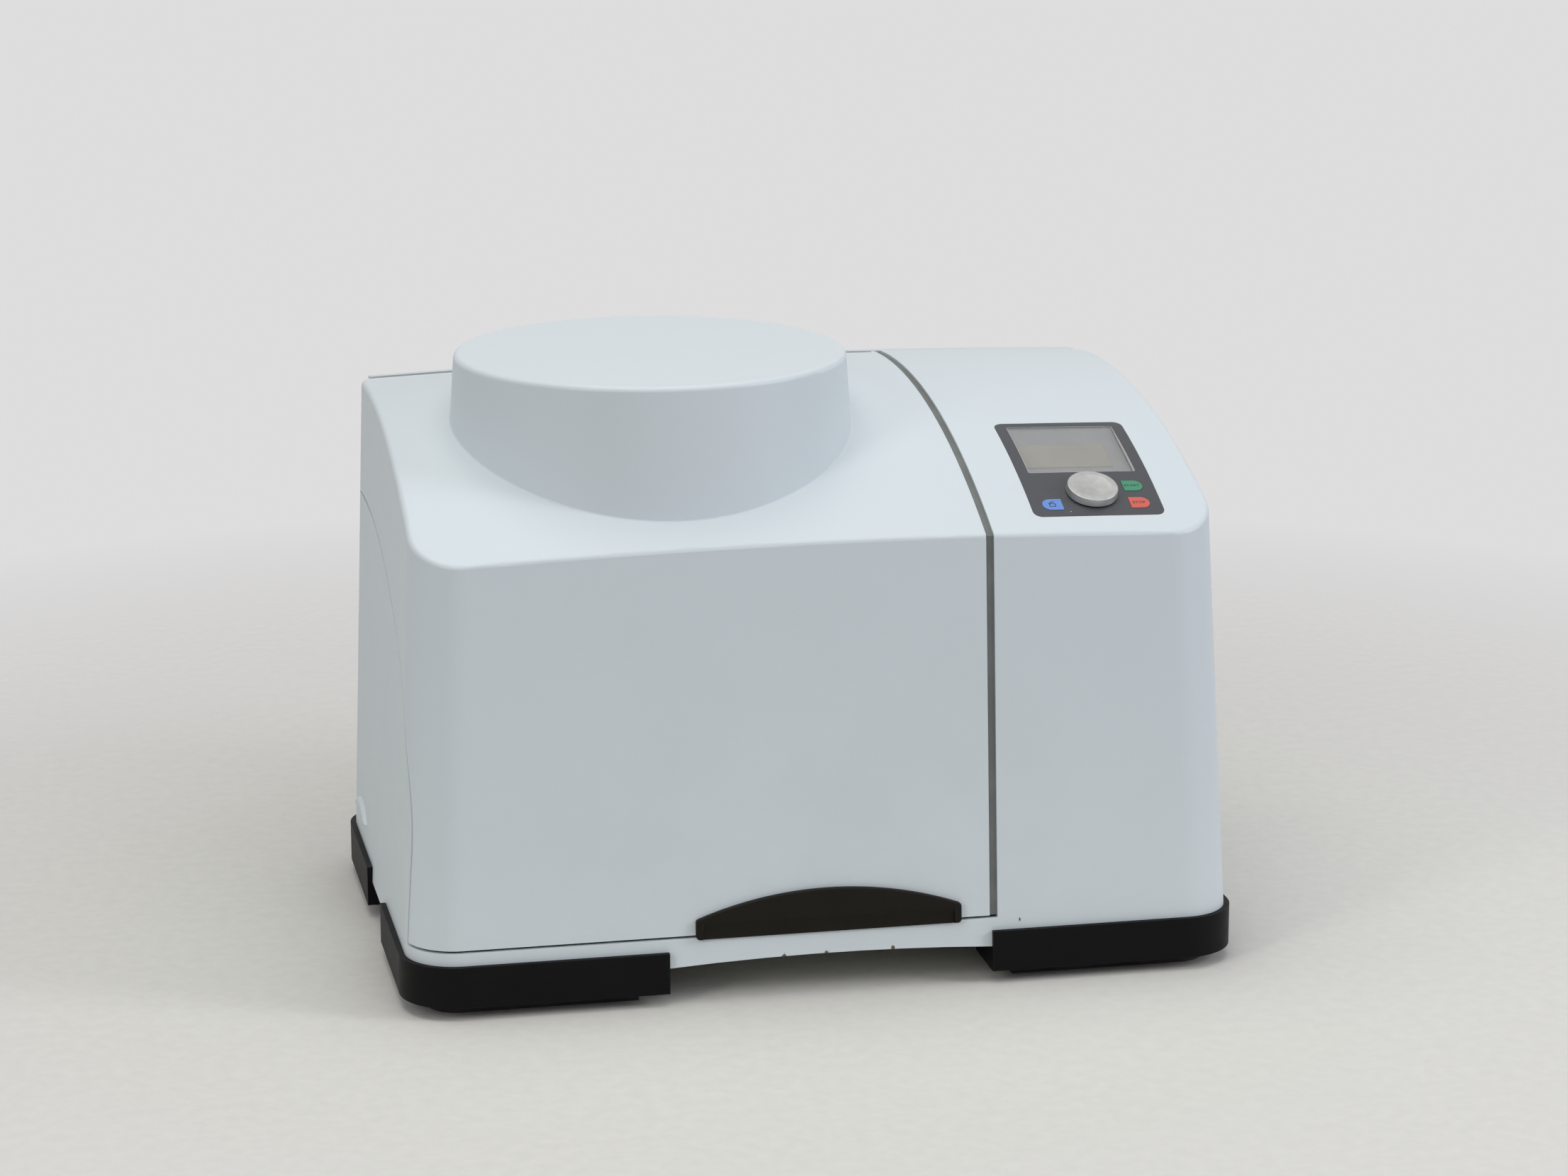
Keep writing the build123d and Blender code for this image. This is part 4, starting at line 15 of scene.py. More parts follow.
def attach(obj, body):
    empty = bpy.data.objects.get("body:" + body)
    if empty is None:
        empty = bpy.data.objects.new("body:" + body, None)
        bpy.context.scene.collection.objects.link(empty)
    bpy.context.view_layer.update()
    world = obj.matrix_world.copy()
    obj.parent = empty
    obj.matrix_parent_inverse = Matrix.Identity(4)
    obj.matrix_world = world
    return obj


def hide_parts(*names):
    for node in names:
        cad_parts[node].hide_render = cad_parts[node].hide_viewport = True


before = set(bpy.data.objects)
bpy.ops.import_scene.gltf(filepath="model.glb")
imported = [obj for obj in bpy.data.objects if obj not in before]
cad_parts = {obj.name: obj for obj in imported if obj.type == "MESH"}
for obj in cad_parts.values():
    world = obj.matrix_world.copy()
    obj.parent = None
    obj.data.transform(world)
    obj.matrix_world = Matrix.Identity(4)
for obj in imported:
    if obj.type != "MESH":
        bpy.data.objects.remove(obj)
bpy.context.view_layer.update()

# %% [markdown]
# ## The camera
# The view is that of a tall person standing a good three metres in front of the bench and
# a little to the left, with a long lens. A long lens keeps the upright edges nearly parallel.
# The camera could be aimed with a Track To constraint, but a plain place and two angles are
# easier to read and never surprise anyone who moves the target.

# %% Camera
CAMERA_PLACE = (-0.6257, -3.0456, 1.0295)
CAMERA_TURN = 11.73              # degrees to the right of straight back
CAMERA_DOWN = 13.92              # degrees below level
CAMERA_ROLL = -0.09
SENSOR = 36.0
FOCAL_SHARE = 5879.1 / 2212      # focal length as a share of the picture's width

camera = bpy.data.objects.new("camera", bpy.data.cameras.new("camera"))
camera.data.sensor_width = SENSOR
camera.data.lens = SENSOR * FOCAL_SHARE
camera.data.clip_end = 60.0
camera.location = CAMERA_PLACE
level_view = Matrix.Rotation(-radians(CAMERA_TURN), 3, "Z")
tilted_view = Matrix.Rotation(radians(90 - CAMERA_DOWN), 3, "X")
rolled_view = Matrix.Rotation(radians(CAMERA_ROLL), 3, "Z")
camera.rotation_euler = (level_view @ tilted_view @ rolled_view).to_euler()
bpy.context.scene.collection.objects.link(camera)
bpy.context.scene.camera = camera
print("lens", round(camera.data.lens, 1), "mm")

# %% [markdown]
# ## Nodes without tears
# A procedural finish is a small tree of nodes: a coordinate, a texture, something that
# remaps it, and the shader. Wiring each tree by hand hides the idea in bookkeeping, so the
# steps that come back every time get a name of their own. Textures read Object coordinates:
# they are in metres and they stay glued to a piece while its body moves.

# %% Small helpers for node trees
def feed(tree, socket, value):
    """Give a socket a plain value, or wire another node's output to it."""
    if isinstance(value, bpy.types.NodeSocket):
        tree.links.new(value, socket)
    else:
        socket.default_value = value


def add_node(tree, kind, inputs=None, **settings):
    """A new shader node with its settings filled in and its sockets fed."""
    node = tree.nodes.new("ShaderNode" + kind)
    for name, value in settings.items():
        setattr(node, name, value)
    for socket, value in (inputs or {}).items():
        feed(tree, node.inputs[socket], value)
    return node


def new_finish(name, colour, roughness, metallic=0.0, **sockets):
    """A finish with its shader; further sockets are named like the shader's, with _ for a space."""
    finish = bpy.data.materials.new(name)
    finish.use_nodes = True
    shader = finish.node_tree.nodes["Principled BSDF"]
    shader.inputs["Base Color"].default_value = (*colour, 1.0)
    shader.inputs["Roughness"].default_value = roughness
    shader.inputs["Metallic"].default_value = metallic
    for socket, value in sockets.items():
        shader.inputs[socket.replace("_", " ")].default_value = value
    return finish


def shader_of(finish):
    """The finish's Principled shader."""
    return finish.node_tree.nodes["Principled BSDF"]


def on_piece(tree, stretch=(1.0, 1.0, 1.0), shift=(0.0, 0.0, 0.0)):
    """The place on the piece in metres, stretched and shifted."""
    place = add_node(tree, "TexCoord").outputs["Object"]
    mapping = add_node(tree, "Mapping", {"Vector": place, "Scale": stretch, "Location": shift})
    return mapping.outputs["Vector"]


def parts_of(tree, vector):
    """A vector's X, Y and Z."""
    return add_node(tree, "SeparateXYZ", {"Vector": vector}).outputs


def clouds(tree, size, detail=2.0, stretch=(1.0, 1.0, 1.0)):
    """Soft noise with patches about size metres across."""
    place = on_piece(tree, stretch)
    noise = add_node(tree, "TexNoise", {"Vector": place, "Scale": 1.0 / size, "Detail": detail})
    return noise.outputs["Fac"]


def levels(tree, value, low, high, to_low=0.0, to_high=1.0):
    """Remap value from low..high to to_low..to_high, and clip it there."""
    remap = add_node(tree, "MapRange", {"Value": value, "From Min": low, "From Max": high,
                                        "To Min": to_low, "To Max": to_high})
    return remap.outputs["Result"]


def patches(tree, size, detail, low, high, to_low=0.0, to_high=1.0):
    """Clouds with more contrast: low and darker give to_low, high and brighter to_high."""
    return levels(tree, clouds(tree, size, detail), low, high, to_low, to_high)


def sums(tree, operation, first, second=0.0):
    """One arithmetic step between two values."""
    return add_node(tree, "Math", {0: first, 1: second}, operation=operation).outputs[0]


def two_colours(tree, share, first, second):
    """first where share is 0, second where it is 1; each is a colour or a node's output."""
    first, second = ((*c, 1.0) if isinstance(c, tuple) else c for c in (first, second))
    return add_node(tree, "Mix", {0: share, 6: first, 7: second}, data_type="RGBA").outputs[2]


def scaled(numbers, share):
    """Every number of a colour or of a place, times share."""
    return tuple(share * number for number in numbers)


def relief(finish, height, depth, strength=1.0, below=None):
    """Let height, from 0 to 1, stand depth metres proud in the light, on the relief below."""
    inputs = {"Distance": depth, "Strength": strength, "Height": height}
    if below is not None:
        inputs["Normal"] = below
    normal = add_node(finish.node_tree, "Bump", inputs).outputs["Normal"]
    feed(finish.node_tree, shader_of(finish).inputs["Normal"], normal)
    return normal


def colour_by(finish, share, first, second):
    """Wire a mix of two colours to the finish's colour."""
    colour = two_colours(finish.node_tree, share, first, second)
    feed(finish.node_tree, shader_of(finish).inputs["Base Color"], colour)


def roughness_by(finish, share, low, high):
    """Wire a roughness that runs from low to high."""
    value = levels(finish.node_tree, share, 0.0, 1.0, low, high)
    feed(finish.node_tree, shader_of(finish).inputs["Roughness"], value)


def mottle(finish, patch, first, second, rough, grain=None):
    """Two colours in patches, an uneven roughness and, with grain, a relief.

    patch is size, detail, low and high; rough is size, detail, smoothest and roughest; grain is
    size, detail, depth and strength.
    """
    tree = finish.node_tree
    colour_by(finish, patches(tree, *patch), first, second)
    roughness_by(finish, clouds(tree, *rough[:2]), *rough[2:])
    if grain:
        relief(finish, clouds(tree, *grain[:2]), *grain[2:])


CORNER_STARTS = 0.02               # 1 less the cosine between softened and true normal
CORNER_FULL = 0.25


def edges_worn_and_lit(tree, reach, *patch):
    """0 on the flat; up to 1, in patches, on outer and inner corners within reach metres."""
    softened = add_node(tree, "Bevel", {"Radius": reach}, samples=4).outputs["Normal"]
    normal = add_node(tree, "NewGeometry").outputs["Normal"]
    facing = add_node(tree, "VectorMath", {0: softened, 1: normal}, operation="DOT_PRODUCT")
    turned_away = sums(tree, "SUBTRACT", 1.0, facing.outputs["Value"])
    corner = levels(tree, turned_away, CORNER_STARTS, CORNER_FULL)
    return sums(tree, "MULTIPLY", corner, patches(tree, *patch))


def distance_from(tree, point, flat=False):
    """Distance in metres from a point on the piece, or from the upright line through it."""
    stretch = (1.0, 1.0, 0.0) if flat else (1.0, 1.0, 1.0)
    shift = tuple(-axis * share for axis, share in zip(point, stretch))
    place = on_piece(tree, stretch, shift)
    return add_node(tree, "VectorMath", {0: place}, operation="LENGTH").outputs["Value"]


print("helpers ready")

# %% [markdown]
# ## The floor
# The mill stands on a pale floor between pale walls. The walls could be modelled, but they
# would hide the machine in every view from behind. So the floor is one wide round sheet
# that fades out towards its rim, until only the plain tone behind it is left.

# %% Floor
FLOOR_RADIUS = 3.0
FLOOR_RINGS = (1.0, 2.0, FLOOR_RADIUS)
FLOOR_STEPS = 96
FLOOR_SOLID = 0.50               # whole out to here
FLOOR_GONE = 1.45                # and faded away by here
FLOOR_TONE = (0.715, 0.70, 0.635)
FLOOR_MOTTLING = (0.965, 1.02)   # darkest and brightest share of the tone

floor_mesh = bpy.data.meshes.new("studio_floor")
floor_form = bmesh.new()
previous = [floor_form.verts.new((0.0, 0.0, 0.0))] * FLOOR_STEPS
for radius in FLOOR_RINGS:
    ring = []
    for step in range(FLOOR_STEPS):
        turn = 2 * pi * step / FLOOR_STEPS
        ring.append(floor_form.verts.new((radius * cos(turn), radius * sin(turn), 0.0)))
    for step in range(FLOOR_STEPS):
        after = (step + 1) % FLOOR_STEPS
        corners = [previous[step], ring[step], ring[after], previous[after]]
        floor_form.faces.new(list(dict.fromkeys(corners)))
    previous = ring
floor_form.to_mesh(floor_mesh)
floor_form.free()
studio_floor = bpy.data.objects.new("studio_floor", floor_mesh)
bpy.context.scene.collection.objects.link(studio_floor)

floor_finish = new_finish("studio_floor", FLOOR_TONE, 0.85)
floor_tree = floor_finish.node_tree
colour_by(floor_finish, patches(floor_tree, 0.012, 6.0, 0.3, 0.7),
          *(scaled(FLOOR_TONE, share) for share in FLOOR_MOTTLING))
relief(floor_finish, clouds(floor_tree, 0.004, 4.0), 0.0004, 0.5)
from_middle = distance_from(floor_tree, (0.0, 0.0, 0.0))
fading = add_node(floor_tree, "MixShader", {
    "Fac": levels(floor_tree, from_middle, FLOOR_SOLID, FLOOR_GONE),
    1: shader_of(floor_finish).outputs["BSDF"],
    2: add_node(floor_tree, "BsdfTransparent").outputs["BSDF"],
})
feed(floor_tree, floor_tree.nodes["Material Output"].inputs["Surface"], fading.outputs["Shader"])
studio_floor.data.materials.append(floor_finish)
print("floor", 2 * FLOOR_RADIUS, "m across")

# %% [markdown]
# ## Lamps and surrounding light
# A laboratory has soft light from its ceiling and cooler light from its windows. Sun lamps
# would throw hard shadows, so four wide area lamps do the work: a strong one above, a weak
# one in front, and two at the sides that model the dome's flanks. The world fills in, more
# from above than from the horizon. To the camera, to mirrors and through glass it shows a
# plain pale tone instead, at its own level.

# %% Lamps and surrounding light
SKY_OVERHEAD = 0.42
SKY_AT_HORIZON = 0.16
SKY_FULL = 0.8                   # how far up the sky is at its brightest
SKY_TONE = (0.92, 0.945, 1.09)
BACKDROP_TONE = (0.735, 0.725, 0.73)


def soft_box(name, place, aim, wide, high, watts, tone):
    """A rectangular lamp at place, facing aim."""
    lamp = bpy.data.lights.new(name, "AREA")
    lamp.shape = "RECTANGLE"
    lamp.size, lamp.size_y = wide, high
    lamp.energy = watts
    lamp.color = tone
    holder = bpy.data.objects.new(name, lamp)
    holder.location = place
    holder.rotation_euler = (Vector(aim) - Vector(place)).to_track_quat("-Z", "Y").to_euler()
    bpy.context.scene.collection.objects.link(holder)


soft_box("overhead", (-0.2, -0.1, 2.6), (0.0, 0.0, 0.3), 2.4, 2.0, 28.5, (1.0, 1.0, 0.94))
soft_box("front_high", (-0.5, -2.5, 2.5), (0.0, 0.0, 0.25), 2.4, 1.2, 6.0, (0.93, 0.92, 1.0))
soft_box("left", (-2.4, -1.9, 1.5), (0.0, 0.0, 0.25), 0.8, 1.5, 21.0, (1.0, 0.99, 0.97))
soft_box("right", (2.6, -1.3, 1.4), (0.1, 0.0, 0.25), 0.8, 1.5, 35.0, (0.90, 0.92, 1.0))

world = bpy.data.worlds.new("studio")
bpy.context.scene.world = world
world.use_nodes = True
world_tree = world.node_tree
sky = world_tree.nodes["Background"]
sky.inputs["Color"].default_value = (*SKY_TONE, 1.0)
upward = parts_of(world_tree, add_node(world_tree, "TexCoord").outputs["Generated"])["Z"]
brightness = levels(world_tree, upward, 0.0, SKY_FULL, SKY_AT_HORIZON, SKY_OVERHEAD)
feed(world_tree, sky.inputs["Strength"], brightness)
seen = add_node(world_tree, "Background", {"Color": (*BACKDROP_TONE, 1.0)})
rays = add_node(world_tree, "LightPath")
looked_at = rays.outputs["Is Camera Ray"]
for way in ("Is Glossy Ray", "Is Transmission Ray"):
    looked_at = sums(world_tree, "MAXIMUM", looked_at, rays.outputs[way])
choice = add_node(world_tree, "MixShader", {
    "Fac": looked_at, 1: sky.outputs["Background"], 2: seen.outputs["Background"]})
feed(world_tree, world_tree.nodes["World Output"].inputs["Surface"], choice.outputs["Shader"])
bpy.context.scene.view_settings.view_transform = "Standard"

# %% [markdown]
# ## The structured paint
# Lid and housing are thick mouldings under a cool pale grey paint with a fine orange-peel
# skin. It isn't glossy, but its skin still catches soft streaks of light down the dome. An
# image of paint would repeat and stretch over the big curves. Two sizes of noise as relief,
# one about half a millimetre and one a few centimetres across, give the skin and the slight
# waviness of a moulding. The colour is painted darker near the floor, in patches: that is
# painted shade. Years in a laboratory give the paint a few dark specks, and knocks have
# chipped the lower edge of the front strip.

# %% Structured paint
PAINT = (0.655, 0.715, 0.725)
# the darker tone serves both the painted shade near the floor and the real dark specks
PAINT_DARKER = (0.60, 0.655, 0.66)
PAINT_CHIP = (0.115, 0.085, 0.055)
PEEL_SIZE = 0.0007
PEEL_DEPTH = 0.00003
WAVE_SIZE = 0.06
WAVE_DEPTH = 0.0002
SHADE_NEAR = 0.24                # painted shade within this distance of the middle of the floor
SHADE_FAR = 0.42                 # and none beyond this one
SHADE_SHARE = 0.5
SPECK_SIZE = 0.0045
SPECK_SHARE = 0.35
RAGGED = 0.0011                  # how far a chip's outline wanders
CHIPS = (                        # place and reach
    (-0.036, -0.2045, 0.0322, 0.0021),
    (-0.004, -0.2045, 0.0325, 0.0017),
    (0.046, -0.2045, 0.0325, 0.0022),
    (0.143, -0.2028, 0.0475, 0.0013),
)

paint = new_finish("structured_paint", PAINT, 0.42, Specular_IOR_Level=0.42)
tree = paint.node_tree
# painted shade: the paint turns darker, in patches, near the middle of the floor
low_down = levels(tree, distance_from(tree, (0.0, 0.0, 0.0)), SHADE_NEAR, SHADE_FAR, 1.0, 0.0)
patchy = patches(tree, 0.09, 4.0, 0.42, 0.72)
floor_shade = sums(tree, "MULTIPLY", sums(tree, "MULTIPLY", low_down, patchy), SHADE_SHARE)
painted = two_colours(tree, floor_shade, PAINT, PAINT_DARKER)
specks = patches(tree, SPECK_SIZE, 1.0, 0.795, 0.83)
painted = two_colours(tree, sums(tree, "MULTIPLY", specks, SPECK_SHARE), painted, PAINT_DARKER)
ragged = patches(tree, 0.0018, 3.0, 0.2, 0.8, -RAGGED, RAGGED)
for x, y, z, reach in CHIPS:
    away = sums(tree, "ADD", distance_from(tree, (x, y, z)), ragged)
    chipped = levels(tree, away, reach * 0.8, reach, 1.0, 0.0)
    painted = two_colours(tree, chipped, painted, PAINT_CHIP)
feed(tree, shader_of(paint).inputs["Base Color"], painted)
roughness_by(paint, clouds(tree, 0.02, 3.0), 0.37, 0.50)
waves = relief(paint, clouds(tree, WAVE_SIZE, 1.0), WAVE_DEPTH, 0.5)
relief(paint, clouds(tree, PEEL_SIZE, 2.0), PEEL_DEPTH, 0.55, below=waves)
print("paint:", len(tree.nodes), "nodes,", len(CHIPS), "chips")

# %% [markdown]
# ## Powder-coated sheet
# The rear cover is folded sheet. Powder coating is a little coarser than the paint on the
# mouldings and rubs thin along the folds. The rubbed corners come from a Bevel node: where
# its softened normal leaves the true one, there is a corner.

# %% Powder coat on the rear cover
SHEET = (0.63, 0.68, 0.69)
SHEET_RUBBED = (0.70, 0.73, 0.735)
powder = new_finish("powder_coat", SHEET, 0.5, Specular_IOR_Level=0.4)
tree = powder.node_tree
FOLD_RUB = 0.0008                # how far from a fold the coat is rubbed
rubbed = edges_worn_and_lit(tree, FOLD_RUB, 0.01, 3.0, 0.35, 0.65)
cloudy = two_colours(tree, patches(tree, 0.12, 3.0, 0.35, 0.7, 0.0, 0.4), SHEET, PAINT_DARKER)
colour_by(powder, rubbed, cloudy, SHEET_RUBBED)
roughness_by(powder, clouds(tree, 0.015, 3.0), 0.45, 0.6)
relief(powder, clouds(tree, 0.0011, 2.0), 0.00005, 0.6)
print("powder coat ready")

# %% [markdown]
# ## Black and grey mouldings
# The corner feet, the handle and the small electrical fittings are moulded in black plastic
# with a fine spark-eroded grain. Real black plastic is never black: it is a very dark grey.
# Its corners are painted paler, partly as polish where a sleeve or a cloth has rubbed them
# and partly as painted highlight along the edges. One recipe with different
# numbers makes them all, so that they belong to the same family.

# %% Moulded plastics
def moulded(name, colour, roughness, grain_size, grain_depth, edge_colour, edge_reach, gloss=0.3):
    """Moulded plastic with an eroded grain, and paler corners: polish wear and painted highlight.
    """
    finish = new_finish(name, colour, roughness, Specular_IOR_Level=gloss)
    tree = finish.node_tree
    mottled = two_colours(tree, patches(tree, 0.03, 4.0, 0.3, 0.7), colour, scaled(colour, 1.25))
    # paler corners: partly polish wear, partly painted highlight
    corners = edges_worn_and_lit(tree, edge_reach, 0.012, 3.0, 0.35, 0.6)
    colour_by(finish, corners, mottled, edge_colour)
    roughness_by(finish, clouds(tree, 0.008, 3.0), roughness - 0.07, roughness + 0.07)
    relief(finish, clouds(tree, grain_size, 2.0), grain_depth, 0.7)
    return finish


# the paler, bluish edge tones of feet and handle are partly painted highlight
foot_plastic = moulded("foot_moulding", (0.0035, 0.0035, 0.0038), 0.52, 0.0006, 0.00006,
                       (0.030, 0.033, 0.038), 0.0006, 0.11)
handle_plastic = moulded("handle_moulding", (0.0070, 0.0058, 0.0035), 0.48, 0.0005, 0.00004,
                         (0.07, 0.075, 0.08), 0.0007, 0.16)
black_plastic = moulded("black_moulding", (0.018, 0.018, 0.019), 0.45, 0.0005, 0.00004,
                        (0.045, 0.045, 0.047), 0.0004)
deck_plastic = moulded("deck_moulding", (0.075, 0.08, 0.085), 0.5, 0.0007, 0.00006,
                       (0.14, 0.145, 0.15), 0.0006)
case_plastic = moulded("inverter_moulding", (0.045, 0.048, 0.054), 0.5, 0.0006, 0.00005,
                       (0.10, 0.10, 0.11), 0.0005)
mouldings = (foot_plastic, handle_plastic, black_plastic, deck_plastic, case_plastic)
print("mouldings", [finish.name for finish in mouldings])

# %% [markdown]
# ## Rubber
# Soles, seals, belts and the strip in the groove are rubber: matt, slightly dusty, with no
# sharp highlight. Dust lies in soft patches, so a wide noise lightens the colour a little,
# and a high roughness does the rest. The drive belts also have ribs that run along them.
# On both belts the ribs lie one above the other, so a wave along Z draws them without UVs.

# %% Rubbers and belts
def rubber(name, colour, dust, roughness=0.75):
    """Matt rubber under a little dust."""
    finish = new_finish(name, colour, roughness, Specular_IOR_Level=0.3)
    mottle(finish, (0.025, 5.0, 0.4, 0.75), colour, dust,
           (0.006, 2.0, roughness - 0.1, roughness + 0.08), (0.0009, 2.0, 0.00005, 0.6))
    return finish


BELT_RIB = 0.0045
sole_rubber = rubber("sole_rubber", (0.022, 0.022, 0.023), (0.06, 0.058, 0.055))
seal_rubber = rubber("seal_rubber", (0.05, 0.052, 0.052), (0.085, 0.085, 0.082))
strip_rubber = rubber("groove_rubber", (0.150, 0.160, 0.150), (0.20, 0.21, 0.195), 0.62)
belt_rubber = rubber("belt_rubber", (0.018, 0.018, 0.018), (0.045, 0.043, 0.04))
tree = belt_rubber.node_tree
ribs = add_node(tree, "TexWave", {"Vector": on_piece(tree), "Scale": 2 * pi / (20 * BELT_RIB)},
                wave_type="BANDS", bands_direction="Z")
relief(belt_rubber, ribs.outputs["Fac"], 0.0006, 0.8)
print("rubbers ready, rib pitch", BELT_RIB * 1000, "mm")

# %% [markdown]
# ## Turned and machined metal
# A lathe leaves fine rings round the axis of what it turned. Every such piece in the mill
# turns about an upright line, so the rings can be drawn from the distance to that line: a
# one-dimensional noise of that distance is a set of rings of uneven width, which is just
# what a cutting tool leaves. It needs no UVs and it stays true on flat faces and on walls.

# %% Metals
SUN_LINE = (-0.0955, 0.0, 0.0)
PLANET_LINE = (-0.0955, -0.0705, 0.0)
MOTOR_LINE = (0.205, 0.02, 0.0)


def turned_metal(name, colour, roughness, line, ring_size=0.0006, depth=0.000015):
    """Metal with tool rings round an upright line."""
    finish = new_finish(name, colour, roughness, 1.0)
    tree = finish.node_tree
    from_line, height = distance_from(tree, line, flat=True), parts_of(tree, on_piece(tree))["Z"]
    place = add_node(tree, "CombineXYZ", {"X": from_line, "Y": height}).outputs["Vector"]
    inputs = {"Vector": place, "Scale": 1.0 / ring_size, "Detail": 3.0}
    rings = add_node(tree, "TexNoise", inputs, noise_dimensions="2D").outputs["Fac"]
    colour_by(finish, patches(tree, 0.018, 4.0, 0.35, 0.7), colour, scaled(colour, 0.86))
    roughness_by(finish, rings, roughness - 0.08, roughness + 0.10)
    relief(finish, rings, depth, 0.7)
    return finish


def brushed_metal(name, colour, roughness, stretch, size=0.0008, depth=0.00001):
    """Metal with fine straight marks; stretch is small along the marks."""
    finish = new_finish(name, colour, roughness, 1.0)
    tree = finish.node_tree
    marks = clouds(tree, size, 3.0, stretch=stretch)
    colour_by(finish, patches(tree, 0.02, 4.0, 0.35, 0.7), colour, scaled(colour, 0.88))
    roughness_by(finish, marks, roughness - 0.08, roughness + 0.12)
    relief(finish, marks, depth, 0.6)
    return finish


MILD_STEEL = (0.56, 0.565, 0.57)
ALUMINIUM = (0.76, 0.77, 0.78)
sun_steel = turned_metal("sun_wheel_steel", MILD_STEEL, 0.34, SUN_LINE, 0.0008)
planet_steel = turned_metal("jar_station_steel", (0.58, 0.585, 0.59), 0.30, PLANET_LINE)
jar_steel = turned_metal("jar_steel", (0.66, 0.66, 0.655), 0.22, PLANET_LINE, 0.0005)
sun_aluminium = turned_metal("sun_pulley_aluminium", ALUMINIUM, 0.36, SUN_LINE)
motor_aluminium = turned_metal("motor_pulley_aluminium", ALUMINIUM, 0.36, MOTOR_LINE)
planet_aluminium = turned_metal("planet_pulley_aluminium", ALUMINIUM, 0.36, PLANET_LINE)
flat_steel = brushed_metal("brushed_steel", MILD_STEEL, 0.36, (0.06, 1.0, 1.0))
pin_steel = brushed_metal("ground_steel", (0.68, 0.68, 0.68), 0.24, (1.0, 0.1, 0.1), 0.0005)

THREAD_PITCH = 0.002
THREAD_DEEP = 0.0008
threaded_steel = brushed_metal("threaded_steel", MILD_STEEL, 0.32, (0.1, 1.0, 1.0))
tree = threaded_steel.node_tree
from_axis = parts_of(tree, on_piece(tree, shift=scaled(PLANET_LINE, -1.0)))
round_turn = sums(tree, "ARCTAN2", from_axis["Y"], from_axis["X"])
climb = sums(tree, "MULTIPLY", from_axis["Z"], 2 * pi / THREAD_PITCH)
helix = sums(tree, "SINE", sums(tree, "SUBTRACT", climb, round_turn))
relief(threaded_steel, levels(tree, helix, -1.0, 1.0), THREAD_DEEP, 0.9)
print("metals ready, thread pitch", THREAD_PITCH * 1000, "mm")

# %% [markdown]
# ## Castings, plating and machine paint
# The bearing block is a grey casting: its skin has kept the grain of the sand. Zinc-plated
# sheet and screws show the faint crystals of the plating, which Voronoi cells of slightly
# different brightness draw well. The motor wears a dark enamel with the lumps of its own
# casting below it.

# %% Casting, zinc, motor enamel
CAST_GREY = (0.16, 0.165, 0.17)
casting = new_finish("grey_casting", CAST_GREY, 0.6, 0.75)
mottle(casting, (0.02, 5.0, 0.35, 0.7), CAST_GREY, (0.25, 0.25, 0.25),
       (0.004, 3.0, 0.5, 0.72), (0.0018, 4.0, 0.00025, 0.7))

CRYSTALS_PER_METRE = 130.0
zinc = new_finish("zinc_plate", (0.62, 0.63, 0.62), 0.38, 1.0)
tree = zinc.node_tree
crystals = add_node(tree, "TexVoronoi", {"Vector": on_piece(tree), "Scale": CRYSTALS_PER_METRE})
shade = add_node(tree, "SeparateColor", {"Color": crystals.outputs["Color"]}).outputs
colour_by(zinc, shade["Red"], (0.54, 0.55, 0.545), (0.66, 0.665, 0.65))
roughness_by(zinc, shade["Green"], 0.3, 0.48)
relief(zinc, clouds(tree, 0.002, 3.0), 0.00003, 0.5)

ENAMEL_BLUE = (0.022, 0.032, 0.052)
enamel = new_finish("motor_enamel", ENAMEL_BLUE, 0.4, Coat_Weight=0.2)
tree = enamel.node_tree
enamel_wear = edges_worn_and_lit(tree, 0.0006, 0.008, 3.0, 0.4, 0.6)
colour_by(enamel, enamel_wear, ENAMEL_BLUE, (0.10, 0.11, 0.13))
roughness_by(enamel, clouds(tree, 0.01, 3.0), 0.32, 0.5)
relief(enamel, clouds(tree, 0.003, 4.0), 0.0002, 0.6)
print("casting, zinc and enamel ready")

# %% [markdown]
# ## Where the panel lies
# The panel follows the tower's top: one long arc from front to rear, and a much flatter one
# from side to side. Whatever sits on it stands square to that double curve. An empty could
# be placed by hand for each fitting, but a function that turns two distances into a place
# keeps them all true at once.

# %% Where the panel lies
TOP_RADIUS = 0.681               # front-to-back arc of the top
TOP_AXIS_Y = 0.1243
TOP_AXIS_Z = -0.2722
CROWN_RADIUS = 7.0               # side-to-side crown of the top
PANEL_X = 0.2117
PANEL_Y = -0.100
PANEL_TILT = asin((TOP_AXIS_Y - PANEL_Y) / TOP_RADIUS)


def on_panel(right, up, lift=0.0):
    """A place on the panel, right of its centre and up its slope: X across, Y up the slope."""
    x, y = PANEL_X + right, PANEL_Y + up * cos(PANEL_TILT)
    radius = TOP_RADIUS - CROWN_RADIUS + sqrt(CROWN_RADIUS**2 - x**2)
    fall, side = asin((y - TOP_AXIS_Y) / radius), asin(x / CROWN_RADIUS)
    outward = Vector((sin(side), cos(side) * sin(fall), cos(side) * cos(fall)))
    across = Vector((cos(side), -sin(side) * sin(fall), -sin(side) * cos(fall)))
    place = Matrix((across, outward.cross(across), outward)).transposed().to_4x4()
    height = TOP_AXIS_Z + sqrt(radius**2 - (y - TOP_AXIS_Y) ** 2)
    place.translation = Vector((x, y, height)) + lift * outward
    return place


panel_middle = on_panel(0.0, 0.0)
print("panel centre", [round(v, 4) for v in panel_middle.translation])

# %% [markdown]
# ## Film, keys, knob and window
# The panel is an anthracite film with a very fine grain, laid in a shallow recess. The keys
# are domes pressed in the same film, printed green, red and blue. The knob is spun
# aluminium: its face has rings round its own leaning axis. The rings are drawn from the
# distance to that axis, after the coordinates have been turned to stand on the panel.

